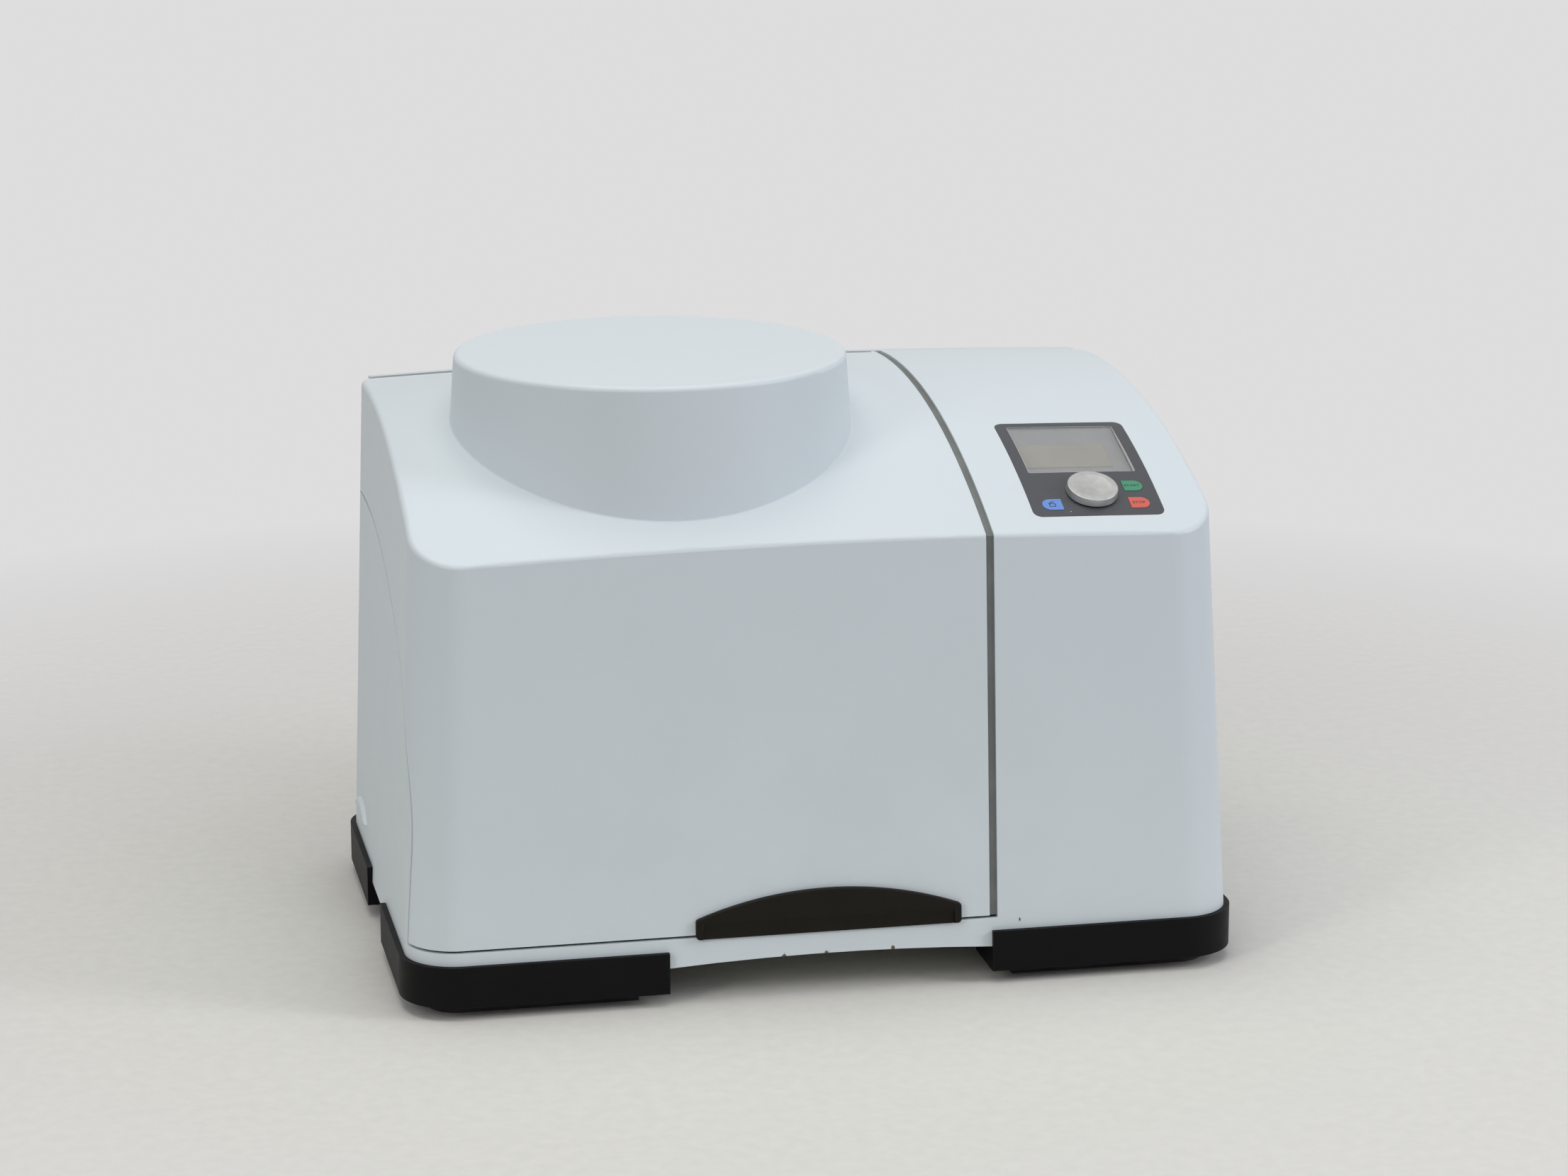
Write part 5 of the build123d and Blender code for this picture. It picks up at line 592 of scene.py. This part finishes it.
# %% Panel film, keys, knob, window
KNOB_DOWN = 0.038
SPIN_MARK = 0.0006
fascia_film = new_finish("anthracite_film", (0.052, 0.054, 0.060), 0.46, Specular_IOR_Level=0.45)
mottle(fascia_film, (0.0006, 2.0, 0.35, 0.65), (0.046, 0.048, 0.054), (0.066, 0.068, 0.074),
       (0.01, 3.0, 0.40, 0.52), (0.0004, 1.0, 0.00002, 0.6))


def key_film(name, colour):
    """Printed key film, a little scuffed by fingertips."""
    finish = new_finish(name, colour, 0.4, Specular_IOR_Level=0.45)
    scuffed = tuple(tone + 0.03 for tone in scaled(colour, 0.82))
    mottle(finish, (0.003, 4.0, 0.4, 0.7), colour, scuffed,
           (0.002, 3.0, 0.34, 0.5), (0.0005, 1.0, 0.00002, 0.5))
    return finish


key_green = key_film("key_green", (0.035, 0.275, 0.145))
key_red = key_film("key_red", (0.66, 0.105, 0.075))
key_blue = key_film("key_blue", (0.125, 0.27, 0.66))

to_knob = on_panel(0.0, -KNOB_DOWN).inverted()
spun = new_finish("spun_aluminium", (0.47, 0.475, 0.47), 0.45, 1.0)
tree = spun.node_tree
on_knob = parts_of(tree, add_node(tree, "Mapping", {
    "Vector": add_node(tree, "TexCoord").outputs["Object"],
    "Rotation": to_knob.to_euler(), "Location": to_knob.translation,
}).outputs["Vector"])
squares = [sums(tree, "POWER", on_knob[axis], 2.0) for axis in "XY"]
knob_radius = sums(tree, "SQRT", sums(tree, "ADD", *squares))
inputs = {"W": knob_radius, "Scale": 1.0 / SPIN_MARK, "Detail": 3.0}
spin_marks = add_node(tree, "TexNoise", inputs, noise_dimensions="1D").outputs["Fac"]
colour_by(spun, patches(tree, 0.006, 3.0, 0.35, 0.7), (0.49, 0.50, 0.495), (0.43, 0.435, 0.43))
roughness_by(spun, spin_marks, 0.42, 0.58)
relief(spun, spin_marks, 0.00002, 0.7)

# the window's pale grey at low alpha is partly its own haze and partly painted reflection of the
# room's light
window_clear = new_finish("clear_window", (0.62, 0.63, 0.62), 0.16, Alpha=0.20,
                          Specular_IOR_Level=0.6)
mottle(window_clear, (0.02, 4.0, 0.35, 0.7), (0.59, 0.59, 0.565), (0.66, 0.655, 0.625),
       (0.01, 4.0, 0.12, 0.28), (0.03, 2.0, 0.00005, 0.3))

bezel_plastic = moulded("display_bezel", (0.21, 0.215, 0.22), 0.5, 0.0006, 0.00003,
                        (0.30, 0.30, 0.31), 0.0005)

MASK_GREEN = (0.012, 0.085, 0.035)
TRACKS_PER_METRE = 260.0
solder_mask = new_finish("solder_mask", MASK_GREEN, 0.35, Coat_Weight=0.3)
tree = solder_mask.node_tree
tracks = add_node(tree, "TexBrick", {
    "Vector": on_piece(tree), "Scale": TRACKS_PER_METRE, "Color1": (*MASK_GREEN, 1.0),
    "Color2": (0.016, 0.105, 0.045, 1.0), "Mortar": (0.03, 0.16, 0.075, 1.0),
})
feed(tree, shader_of(solder_mask).inputs["Base Color"], tracks.outputs["Color"])
roughness_by(solder_mask, clouds(tree, 0.004, 2.0), 0.28, 0.42)
relief(solder_mask, tracks.outputs["Fac"], 0.00004, 0.6)
print("panel finishes ready")

# %% [markdown]
# ## Handing out the finishes
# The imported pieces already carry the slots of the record. Changing a slot's material keeps
# its name tag, so one small table from slot to finish dresses most pieces at once. A few
# pieces share a slot but turn about different lines, and these are named one by one.

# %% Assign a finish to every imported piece
SLOT_FINISH = {
    "housing_shell": paint, "rear_sheet": powder,
    "foot_casting": foot_plastic, "handle_plastic": handle_plastic, "black_plastic": black_plastic,
    "deck_plastic": deck_plastic, "inverter_case": case_plastic, "display": bezel_plastic,
    "sole_rubber": sole_rubber, "seal_rubber": seal_rubber, "strip_rubber": strip_rubber,
    "belt_rubber": belt_rubber,
    "steel": flat_steel, "pin_steel": pin_steel, "jar_steel": jar_steel,
    "aluminium": sun_aluminium, "knob_metal": spun, "casting": casting, "zinc": zinc,
    "motor_paint": enamel, "fascia_film": fascia_film, "window": window_clear, "board": solder_mask,
    "key_green": key_green, "key_red": key_red, "key_blue": key_blue,
}
PIECE_FINISH = {
    "sun_disc": sun_steel, "sun_shaft": sun_steel,
    "planet_cartridge": planet_steel, "planet_shaft": planet_steel, "jar_holder": planet_steel,
    "motor_pulley": motor_aluminium, "planet_pulley": planet_aluminium,
    "clamp_spindle": threaded_steel,
}
for name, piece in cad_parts.items():
    for holder in piece.material_slots:
        holder.material = PIECE_FINISH.get(name) or SLOT_FINISH[holder.material.name.split(".")[0]]
finishes = {*SLOT_FINISH.values(), *PIECE_FINISH.values()}
print("dressed", len(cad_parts), "pieces in", len(finishes), "finishes")

# %% [markdown]
# ## Mesh code for small fittings
# The small fittings are of two kinds: round things that a lathe could turn, and flat things
# cut from an outline. Both are rows of points joined by four-sided faces, with a cap on each
# end. A lathe needs only a list of rings, and if a ring's radius may change with the angle,
# the same lathe also makes a cross recess. Flat things are an outline pushed up with a small
# chamfer, because a sharp edge never catches light.

# %% Lathe, plate and piece
def bands(rows, count, closed=False):
    """Faces between neighbouring rows of count points; closed also joins the last to the first."""
    faces = []
    for row in range(rows if closed else rows - 1):
        here, there = row * count, (row + 1) % rows * count
        for step in range(count):
            after = (step + 1) % count
            faces.append((here + step, here + after, there + after, there + step))
    return faces


def capped(rows, count):
    """The faces between rows, and a cap on the first and on the last row."""
    last = (rows - 1) * count
    return bands(rows, count) + [tuple(range(count - 1, -1, -1)), tuple(range(last, last + count))]


def lathe(rings, place, steps=48):
    """A closed form: rings of (radius or radius-of-angle, height) about place's Z axis."""
    points = []
    for radius, height in rings:
        for step in range(steps):
            turn = 2 * pi * step / steps
            reach = radius(turn) if callable(radius) else radius
            points.append(place @ Vector((reach * cos(turn), reach * sin(turn), height)))
    return points, capped(len(rings), steps)


def plate(outline, place, low, high, chamfer=0.0):
    """An outline in place's XY plane pushed from low to high, with its upper edge chamfered."""
    middle = sum((Vector((x, y)) for x, y in outline), Vector((0.0, 0.0))) / len(outline)
    rows = [(0.0, low), (0.0, high - chamfer)]
    if chamfer:
        rows.append((chamfer, high))
    points = []
    for inset, height in rows:
        for x, y in outline:
            arm = Vector((x, y)) - middle
            spot = middle + arm * (1 - inset / max(arm.length, chamfer + 1e-9))
            points.append(place @ Vector((spot.x, spot.y, height)))
    return points, capped(len(rows), len(outline))


SMOOTH_BELOW = 35.0              # faces that meet at less than this many degrees shade as one


def make_piece(name, forms, body, finish):
    """Join forms of points and faces into one piece that rides on a body."""
    mesh = bpy.data.meshes.new(name)
    points, faces = [], []
    for more_points, more_faces in forms:
        start = len(points)
        points += [tuple(p) for p in more_points]
        faces += [tuple(start + corner for corner in face) for face in more_faces]
    mesh.from_pydata(points, [], faces)
    tidy = bmesh.new()
    tidy.from_mesh(mesh)
    bmesh.ops.remove_doubles(tidy, verts=tidy.verts, dist=1e-7)
    bmesh.ops.recalc_face_normals(tidy, faces=tidy.faces)
    tidy.to_mesh(mesh)
    tidy.free()
    mesh.shade_smooth()
    mesh.set_sharp_from_angle(angle=radians(SMOOTH_BELOW))
    mesh.materials.append(finish)
    piece = bpy.data.objects.new(name, mesh)
    bpy.context.scene.collection.objects.link(piece)
    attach(piece, body)
    return piece


def rounded(wide, high, corner, steps=6):
    """A rectangle's outline with rounded corners, about the origin."""
    outline = []
    for quarter, (i, j) in enumerate(((1, 1), (-1, 1), (-1, -1), (1, -1))):
        for step in range(steps + 1):
            turn = pi / 2 * (quarter + step / steps)
            x = i * (wide / 2 - corner) + corner * cos(turn)
            outline.append((x, j * (high / 2 - corner) + corner * sin(turn)))
    return outline


print("lathe and plate ready")

# %% [markdown]
# ## The liquid crystal field
# Deep behind the window lies the display itself: olive grey glass with a hardly visible grid
# of dots, switched off. The dots are too fine to model, so they are a Brick texture without
# offset, in nearly equal tones. The plate is a piece of its own, because on the real panel
# it is a separate part with its own bright edge.

# %% Display glass
LCD_WIDE = 0.0705
LCD_HIGH = 0.0335
LCD_UP = 0.02675
LCD_RIGHT = -0.0035
LCD_DEPTH = 0.0092
LCD_DOT = 0.0005
LCD_OLIVE = (0.27, 0.248, 0.175)
LCD_EDGE = 0.0005                # the plate is this much smaller than its opening all round
LCD_THICK = 0.0009
LCD_SUNK = 0.0002

lcd_finish = new_finish("lcd_olive", LCD_OLIVE, 0.3, Specular_IOR_Level=0.5)
tree = lcd_finish.node_tree
dots = add_node(tree, "TexBrick", {
    "Vector": on_piece(tree), "Scale": 1.0, "Color1": (*LCD_OLIVE, 1.0),
    "Color2": (0.276, 0.253, 0.180, 1.0), "Mortar": (0.290, 0.268, 0.195, 1.0),
    "Brick Width": LCD_DOT, "Row Height": LCD_DOT, "Mortar Size": LCD_DOT * 0.12,
}, offset=0.0)
shaded = patches(tree, 0.03, 2.0, 0.3, 0.7, 0.0, 0.5)
colour_by(lcd_finish, shaded, dots.outputs["Color"], (0.245, 0.225, 0.165))
roughness_by(lcd_finish, clouds(tree, 0.01, 2.0), 0.24, 0.36)
lcd_outline = rounded(LCD_WIDE - 2 * LCD_EDGE, LCD_HIGH - 2 * LCD_EDGE, 0.0008)
lcd_place = panel_middle @ Matrix.Translation((LCD_RIGHT, LCD_UP, -LCD_DEPTH))
lcd_form = plate(lcd_outline, lcd_place, -LCD_SUNK, LCD_THICK - LCD_SUNK, 0.0003)
make_piece("lcd_field", [lcd_form], "frame", lcd_finish)
print("lcd field", LCD_WIDE * 1000, "x", LCD_HIGH * 1000, "mm")

# %% [markdown]
# ## The frame round the display
# A grey moulding joins the window to the smaller, deeper display, and its four walls slope
# inwards like a funnel's. Each wall has its own slope, since the display doesn't lie in the
# middle of the window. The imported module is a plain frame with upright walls, so this piece
# stands for it: four rectangles at their own depths, joined corner to corner into a ring.

# %% Display frame
FRAME_WIDE = 0.083
FRAME_HIGH = 0.0705
FRAME_UP = 0.025
FRAME_TOP = -0.0042              # the window's lower face
FRAME_LAND = 0.0006
MODULE_FOOT = -0.015             # the module stands on the board
MODULE_WIDE = 0.076
MODULE_HIGH = 0.041


def rectangle(wide, high, right, up, depth):
    """Four corners on the panel, at one depth."""
    return [panel_middle @ Vector((right + x * wide / 2, up + y * high / 2, depth))
            for x, y in ((-1, -1), (1, -1), (1, 1), (-1, 1))]


inner_wide, inner_high = FRAME_WIDE - 2 * FRAME_LAND, FRAME_HIGH - 2 * FRAME_LAND
funnel = [
    *rectangle(FRAME_WIDE, FRAME_HIGH, 0.0, FRAME_UP, -LCD_DEPTH),
    *rectangle(FRAME_WIDE, FRAME_HIGH, 0.0, FRAME_UP, FRAME_TOP),
    *rectangle(inner_wide, inner_high, 0.0, FRAME_UP, FRAME_TOP),
    *rectangle(LCD_WIDE, LCD_HIGH, LCD_RIGHT, LCD_UP, -LCD_DEPTH),
], bands(4, 4, closed=True)
module_place = panel_middle @ Matrix.Translation((LCD_RIGHT, LCD_UP, 0.0))
module = plate(rounded(MODULE_WIDE, MODULE_HIGH, 0.001), module_place, MODULE_FOOT, -LCD_DEPTH)
display_frame = make_piece("display_frame", [funnel, module], "frame", bezel_plastic)
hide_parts("display_module")
print("display frame", FRAME_WIDE * 1000, "x", FRAME_HIGH * 1000, "mm")

# %% [markdown]
# ## The lining of the window's recess
# The window lies a few millimetres below the film, and the recess has pale walls that catch
# the light as a thin bright line. The top of the wall has to follow the curve of the panel
# while its foot stays flat on the window. A strip of points, two at the top and two at the
# foot for every step along the wall, does both. An array of short boxes would show steps.

# %% Window lining
WINDOW_HALF = 0.0415
WINDOW_LOW_END = -0.01025        # along the slope from the panel's centre
WINDOW_HIGH_END = 0.06025
LINING = 0.00025
LINING_FOOT = -0.0029
LINING_SUNK = 0.0001             # below the film, and clear of the opening's wall
LINING_STEPS = 10


def wall_strip(start, end, inward):
    """A thin wall between two (right, up) points, its top just under the panel's curve."""
    points, inward = [], Vector(inward)
    for step in range(LINING_STEPS + 1):
        outer = Vector(start).lerp(Vector(end), step / LINING_STEPS)
        inner = outer + inward * LINING
        top = -(outer.y**2) / (2 * TOP_RADIUS) - outer.x**2 / (2 * CROWN_RADIUS) - LINING_SUNK
        for spot, depth in ((outer, top), (inner, top), (inner, LINING_FOOT), (outer, LINING_FOOT)):
            points.append(panel_middle @ Vector((*spot, depth)))
    return points, capped(LINING_STEPS + 1, 4)


lining_paint = new_finish("recess_paint", (0.66, 0.67, 0.66), 0.45)
mottle(lining_paint, (0.004, 3.0, 0.35, 0.7), (0.68, 0.69, 0.68), (0.58, 0.59, 0.58),
       (0.002, 2.0, 0.38, 0.52))
edge, walls = WINDOW_HALF - LINING_SUNK, []
for side in (-1, 1):
    low_end, high_end = (side * edge, WINDOW_LOW_END), (side * edge, WINDOW_HIGH_END)
    walls.append(wall_strip(low_end, high_end, (-side, 0.0)))
for end, inward in ((WINDOW_LOW_END + LINING_SUNK, 1.0), (WINDOW_HIGH_END - LINING_SUNK, -1.0)):
    walls.append(wall_strip((-edge, end), (edge, end), (0.0, inward)))
make_piece("window_lining", walls, "frame", lining_paint)
print("lining of", len(walls), "walls")

# %% [markdown]
# ## Legends on the keys
# The keys say what they do: START, STOP, and a small open jar for the lid. On the real panel
# this is thin dark print. Blender's own text object gives clean letters, and turned into a
# mesh it can be laid on the key and ride with it. The open jar is drawn with short ribbons.

# %% Printed legends
PRINT_HIGH = 0.0029
PRINT_THICK = 0.00004
BOLD_SHARE = 0.03
LETTER_SHARE = 0.72              # a capital, as a share of the letters' size
KEY_PROUD = 0.0003
KEY_SIDE = 0.0337
WORD_LEFT = 0.0006               # the words stand a little left of the key's middle
LETTER_GAP = 1.06
ICON_LINE = 0.0007
KEYS = {                         # place on the panel, word, slot
    "start_key": (KEY_SIDE, -0.0297, "START", "key_green"),
    "stop_key": (KEY_SIDE, -0.0508, "STOP", "key_red"),
}
OPEN_KEY = (-KEY_SIDE, -0.052)
INK = (0.018, 0.022, 0.02)

print_ink = new_finish("print_ink", INK, 0.5)
mottle(print_ink, (0.0008, 3.0, 0.45, 0.75), INK, (0.05, 0.055, 0.05), (0.001, 2.0, 0.42, 0.6))


def letters(word, place, high):
    """Points and faces of a word in thin print, centred on place."""
    curve = bpy.data.curves.new(word, "FONT")
    curve.body = word
    curve.size = high / LETTER_SHARE
    curve.align_x, curve.align_y = "CENTER", "CENTER"
    curve.space_character = LETTER_GAP
    curve.extrude = PRINT_THICK / 2
    curve.offset = high * BOLD_SHARE
    curve.resolution_u = 4
    holder = bpy.data.objects.new(word, curve)
    bpy.context.scene.collection.objects.link(holder)
    bpy.context.view_layer.update()
    shown = holder.evaluated_get(bpy.context.evaluated_depsgraph_get())
    mesh = bpy.data.meshes.new_from_object(shown)
    points = [place @ vertex.co for vertex in mesh.vertices]
    faces = [tuple(face.vertices) for face in mesh.polygons]
    bpy.data.objects.remove(holder)
    bpy.data.meshes.remove(mesh)
    return points, faces


def ribbon(path, wide, place, low, high):
    """Short flat bars along a path of (x, y) points."""
    forms = []
    for (x0, y0), (x1, y1) in zip(path, path[1:]):
        along = Vector((x1 - x0, y1 - y0)).normalized() * wide / 2
        side = Vector((-along.y, along.x))
        start, end = Vector((x0, y0)) - along, Vector((x1, y1)) + along
        outline = [tuple(start - side), tuple(end - side), tuple(end + side), tuple(start + side)]
        forms.append(plate(outline, place, low, high))
    return forms


for key, (right, up, word, slot) in KEYS.items():
    word_place = on_panel(right - WORD_LEFT, up, KEY_PROUD)
    make_piece(key + "_legend", [letters(word, word_place, PRINT_HIGH)], key, print_ink)
jar_place = on_panel(OPEN_KEY[0], OPEN_KEY[1])
jar_wall = [(0.0021, 0.0008), (0.0021, -0.0018), (0.0016, -0.0025)]  # one side, rim to foot
jar_outline = [(-x, y) for x, y in jar_wall] + jar_wall[::-1]
tilted_lid = [(-0.0023, 0.0015), (0.0018, 0.0033)]
lid_knob = [(-0.0005, 0.0031), (0.0000, 0.0033)]
jar_rim = [jar_outline[0], jar_outline[-1]]
icon = [form for path in (jar_outline, jar_rim, tilted_lid, lid_knob)
        for form in ribbon(path, ICON_LINE, jar_place, KEY_PROUD, KEY_PROUD + PRINT_THICK)]
make_piece("lid_release_icon", icon, "lid_release_key", print_ink)
print("legends on", list(KEYS) + ["lid_release_key"])

# %% [markdown]
# ## The ready lamp
# Near the lower edge of the panel sits a lamp no bigger than a pinhead. It is a small lens,
# so the lathe turns a shallow dome, and a clear bright finish does the rest.

# %% Ready lamp
lens_finish = new_finish("lamp_lens", (0.78, 0.80, 0.76), 0.12, Coat_Weight=0.5)
mottle(lens_finish, (0.0004, 1.0, 0.3, 0.7), (0.74, 0.76, 0.72), (0.86, 0.88, 0.84),
       (0.0005, 1.0, 0.08, 0.2))
LENS = 0.00032                   # radius of the lens
COLLAR_HIGH = 0.0001
lamp_place = on_panel(-0.0215, -0.0605)
collar = [(LENS * 1.25, -0.0002), (LENS * 1.25, COLLAR_HIGH)]
dome = [(LENS * cos(a), COLLAR_HIGH + LENS * sin(a)) for a in (0.0, 0.4, 0.8, 1.2, 1.5)]
make_piece("ready_lamp", [lathe(collar + dome, lamp_place, 24)], "frame", lens_finish)
print("ready lamp at", [round(v, 4) for v in lamp_place.translation])

# %% [markdown]
# ## The counterweight's scale
# The weight on the sun wheel is set along its sloping rail to balance the jar, and a scale
# beside the rail says where it stands. The scale is cut lines and numbers from 1 to 9, filled
# with black. The lines are thin plates and the numbers use the same letters as the keys.

# %% Scale beside the counterweight's rail
RAIL_FOOT = (SUN_LINE[0], 0.030, 0.166)     # inner end of the wedge's sloping face
RAIL_SLOPE = 20.0
SCALE_LEFT = 0.0118                          # from the rail's middle
SCALE_STEP = 0.002
SCALE_LINES = 50
LINE_WIDE = 0.00025
LINE_LONG = {True: 0.0042, False: 0.0026}    # every fifth line is long and has a number
NUMBER_LEFT = 0.0068
NUMBER_HIGH = 0.0026
along_rail = Matrix.Translation(RAIL_FOOT) @ Matrix.Rotation(radians(RAIL_SLOPE), 4, "X")
scale_forms = []
for step in range(2, SCALE_LINES):
    fifth = step % 5 == 0
    long_way = LINE_LONG[fifth]
    middle = along_rail @ Matrix.Translation((SCALE_LEFT + long_way / 2, step * SCALE_STEP, 0.0))
    line = rounded(long_way, LINE_WIDE, LINE_WIDE * 0.3, 2)
    scale_forms.append(plate(line, middle, -PRINT_THICK, PRINT_THICK))
    if fifth:
        number = along_rail @ Matrix.Translation((SCALE_LEFT + NUMBER_LEFT, step * SCALE_STEP, 0.0))
        scale_forms.append(letters(str(step // 5), number, NUMBER_HIGH))
make_piece("counterweight_scale", scale_forms, "sun_wheel", print_ink)
print("scale with", SCALE_LINES - 2, "lines")

# %% [markdown]
# ## Screws on the rear
# The rear cover is held by pan-head screws with a cross recess, three down each side and a
# row along the top that bites into the hinge beam. Four more carry the fan. The cross is a
# radius that changes with the angle, so head and recess are one lathe form.

# %% Rear screws
REAR_FACE = 0.2055
REARWARD = Matrix(((-1, 0, 0), (0, 0, 1), (0, 1, 0))).to_4x4()    # turns Z to point out of the rear
HEAD_RADIUS = 0.0034
HEAD_HIGH = 0.0017
RECESS_DEEP = 0.0011
ARM_LONG = 0.0020
ARM_HALF = 0.0005
FAN_X = 0.205
FAN_Z = 0.236
FAN_HOLES = 0.04125              # from the fan's middle to its screws, each way


def cross(turn):
    """Radius of a cross recess at an angle."""
    off = (turn + pi / 4) % (pi / 2) - pi / 4
    return ARM_LONG / cos(off) if abs(tan(off)) < ARM_HALF / ARM_LONG else ARM_HALF / abs(sin(off))


def pan_head(place):
    """A pan-head screw with a cross recess, standing on place."""
    crown = [(HEAD_RADIUS * cos(a), HEAD_HIGH * (0.35 + 0.65 * sin(a)))
             for a in (0.0, 0.3, 0.6, 0.9, 1.15)]
    recess = [(cross, HEAD_HIGH * 0.985), (lambda turn: 0.8 * cross(turn), HEAD_HIGH - RECESS_DEEP)]
    return lathe([(HEAD_RADIUS, 0.0)] + crown + recess, place, 64)


def on_rear(x, z, turn):
    """A place on the rear face, Z pointing out of it."""
    return Matrix.Translation((x, REAR_FACE, z)) @ REARWARD @ Matrix.Rotation(turn, 4, "Z")


COVER_SCREWS = [(side * 0.287, z) for side in (-1, 1) for z in (0.072, 0.190, 0.300)]
COVER_SCREWS += [(x, 0.374) for x in (-0.240, -0.095, 0.050, 0.195)]
FAN_SCREWS = [(FAN_X + i * FAN_HOLES, FAN_Z + j * FAN_HOLES) for i in (-1, 1) for j in (-1, 1)]
# no two screws stop at the same turn
cover_heads = [pan_head(on_rear(x, z, 7.0 * x + 5.0 * z)) for x, z in COVER_SCREWS]
fan_heads = [pan_head(on_rear(x, z, 9.0 * x + 3.0 * z)) for x, z in FAN_SCREWS]
make_piece("cover_screws", cover_heads, "frame", zinc)
make_piece("fan_screws", fan_heads, "frame", zinc)
print("screws", len(COVER_SCREWS) + len(FAN_SCREWS))

# %% [markdown]
# ## The mains inlet and its switch
# The three prongs of the inlet are nickel-plated brass, and the rocker is marked with the
# bar and ring that every mains switch has. The prongs are sleeves over the black posts of
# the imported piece. The marks are filled with white, pressed into the two faces of the rocker.

# %% Prongs and rocker marks
INLET_X = 0.236
SOCKET_Z = 0.096
PRONGS = ((-0.007, -0.0015), (0.007, -0.0015), (0.0, 0.0025))
PRONG_TIP_Y = 0.2036
PRONG_WIDE = 0.00215
PRONG_HIGH = 0.00415
PRONG_LONG = 0.0115
PRONG_TIP = 0.0002               # the sleeve stands this far past the post
PRONG_EDGE = 0.0003
prong_nickel = brushed_metal("prong_nickel", (0.66, 0.64, 0.60), 0.22, (1.0, 0.1, 1.0), 0.0004)
prongs = []
for across, up in PRONGS:
    seat = Matrix.Translation((INLET_X + across, PRONG_TIP_Y, SOCKET_Z + up)) @ REARWARD
    section = rounded(PRONG_WIDE, PRONG_HIGH, PRONG_EDGE, 3)
    prongs.append(plate(section, seat, -PRONG_LONG, PRONG_TIP, PRONG_EDGE))
make_piece("inlet_prongs", prongs, "frame", prong_nickel)

mark_white = new_finish("mark_white", (0.75, 0.75, 0.73), 0.5)
mottle(mark_white, (0.0007, 3.0, 0.4, 0.7), (0.76, 0.76, 0.74), (0.60, 0.60, 0.58),
       (0.001, 2.0, 0.42, 0.6))
ROCKER_Y = 0.2025
ROCKER_X = 0.190
ROCKER_Z = 0.092
ROCKER_HALF = 0.0062             # half the rocker's height
RIDGE_RISE = 0.0024              # its ridge and both ends, past ROCKER_Y
PRESSED_RISE = 0.0012
RAISED_RISE = 0.0042
MARK_SUNK = 0.0001
MARK_PROUD = 0.00006
BAR_WIDE = 0.0007
BAR_LONG = 0.0032
RING_RADIUS = 0.0017
RING_LINE = 0.0005
RING_STEPS = 32


def on_rocker(low, high):
    """The middle of the rocker's face between two (y, z) ends, Z pointing out of it."""
    slope = Vector((0.0, high[0] - low[0], high[1] - low[1])).normalized()
    outward = Vector((-1.0, 0.0, 0.0)).cross(slope)
    across = slope.cross(outward)
    place = Matrix((across, slope, outward)).transposed().to_4x4()
    place.translation = Vector((ROCKER_X, (low[0] + high[0]) / 2, (low[1] + high[1]) / 2))
    return place


ridge = (ROCKER_Y + RIDGE_RISE, ROCKER_Z)
upper_face = on_rocker(ridge, (ROCKER_Y + PRESSED_RISE, ROCKER_Z + ROCKER_HALF))
lower_face = on_rocker((ROCKER_Y + RAISED_RISE, ROCKER_Z - ROCKER_HALF), ridge)
bar = plate(rounded(BAR_WIDE, BAR_LONG, 0.0002, 2), upper_face, -MARK_SUNK, MARK_PROUD)
turns = [2 * pi * step / RING_STEPS for step in range(RING_STEPS + 1)]
circle = [(RING_RADIUS * cos(turn), RING_RADIUS * sin(turn)) for turn in turns]
ring = ribbon(circle, RING_LINE, lower_face, -MARK_SUNK, MARK_PROUD)
make_piece("rocker_marks", [bar, *ring], "power_switch", mark_white)
print("prongs", len(prongs), "and rocker marks")
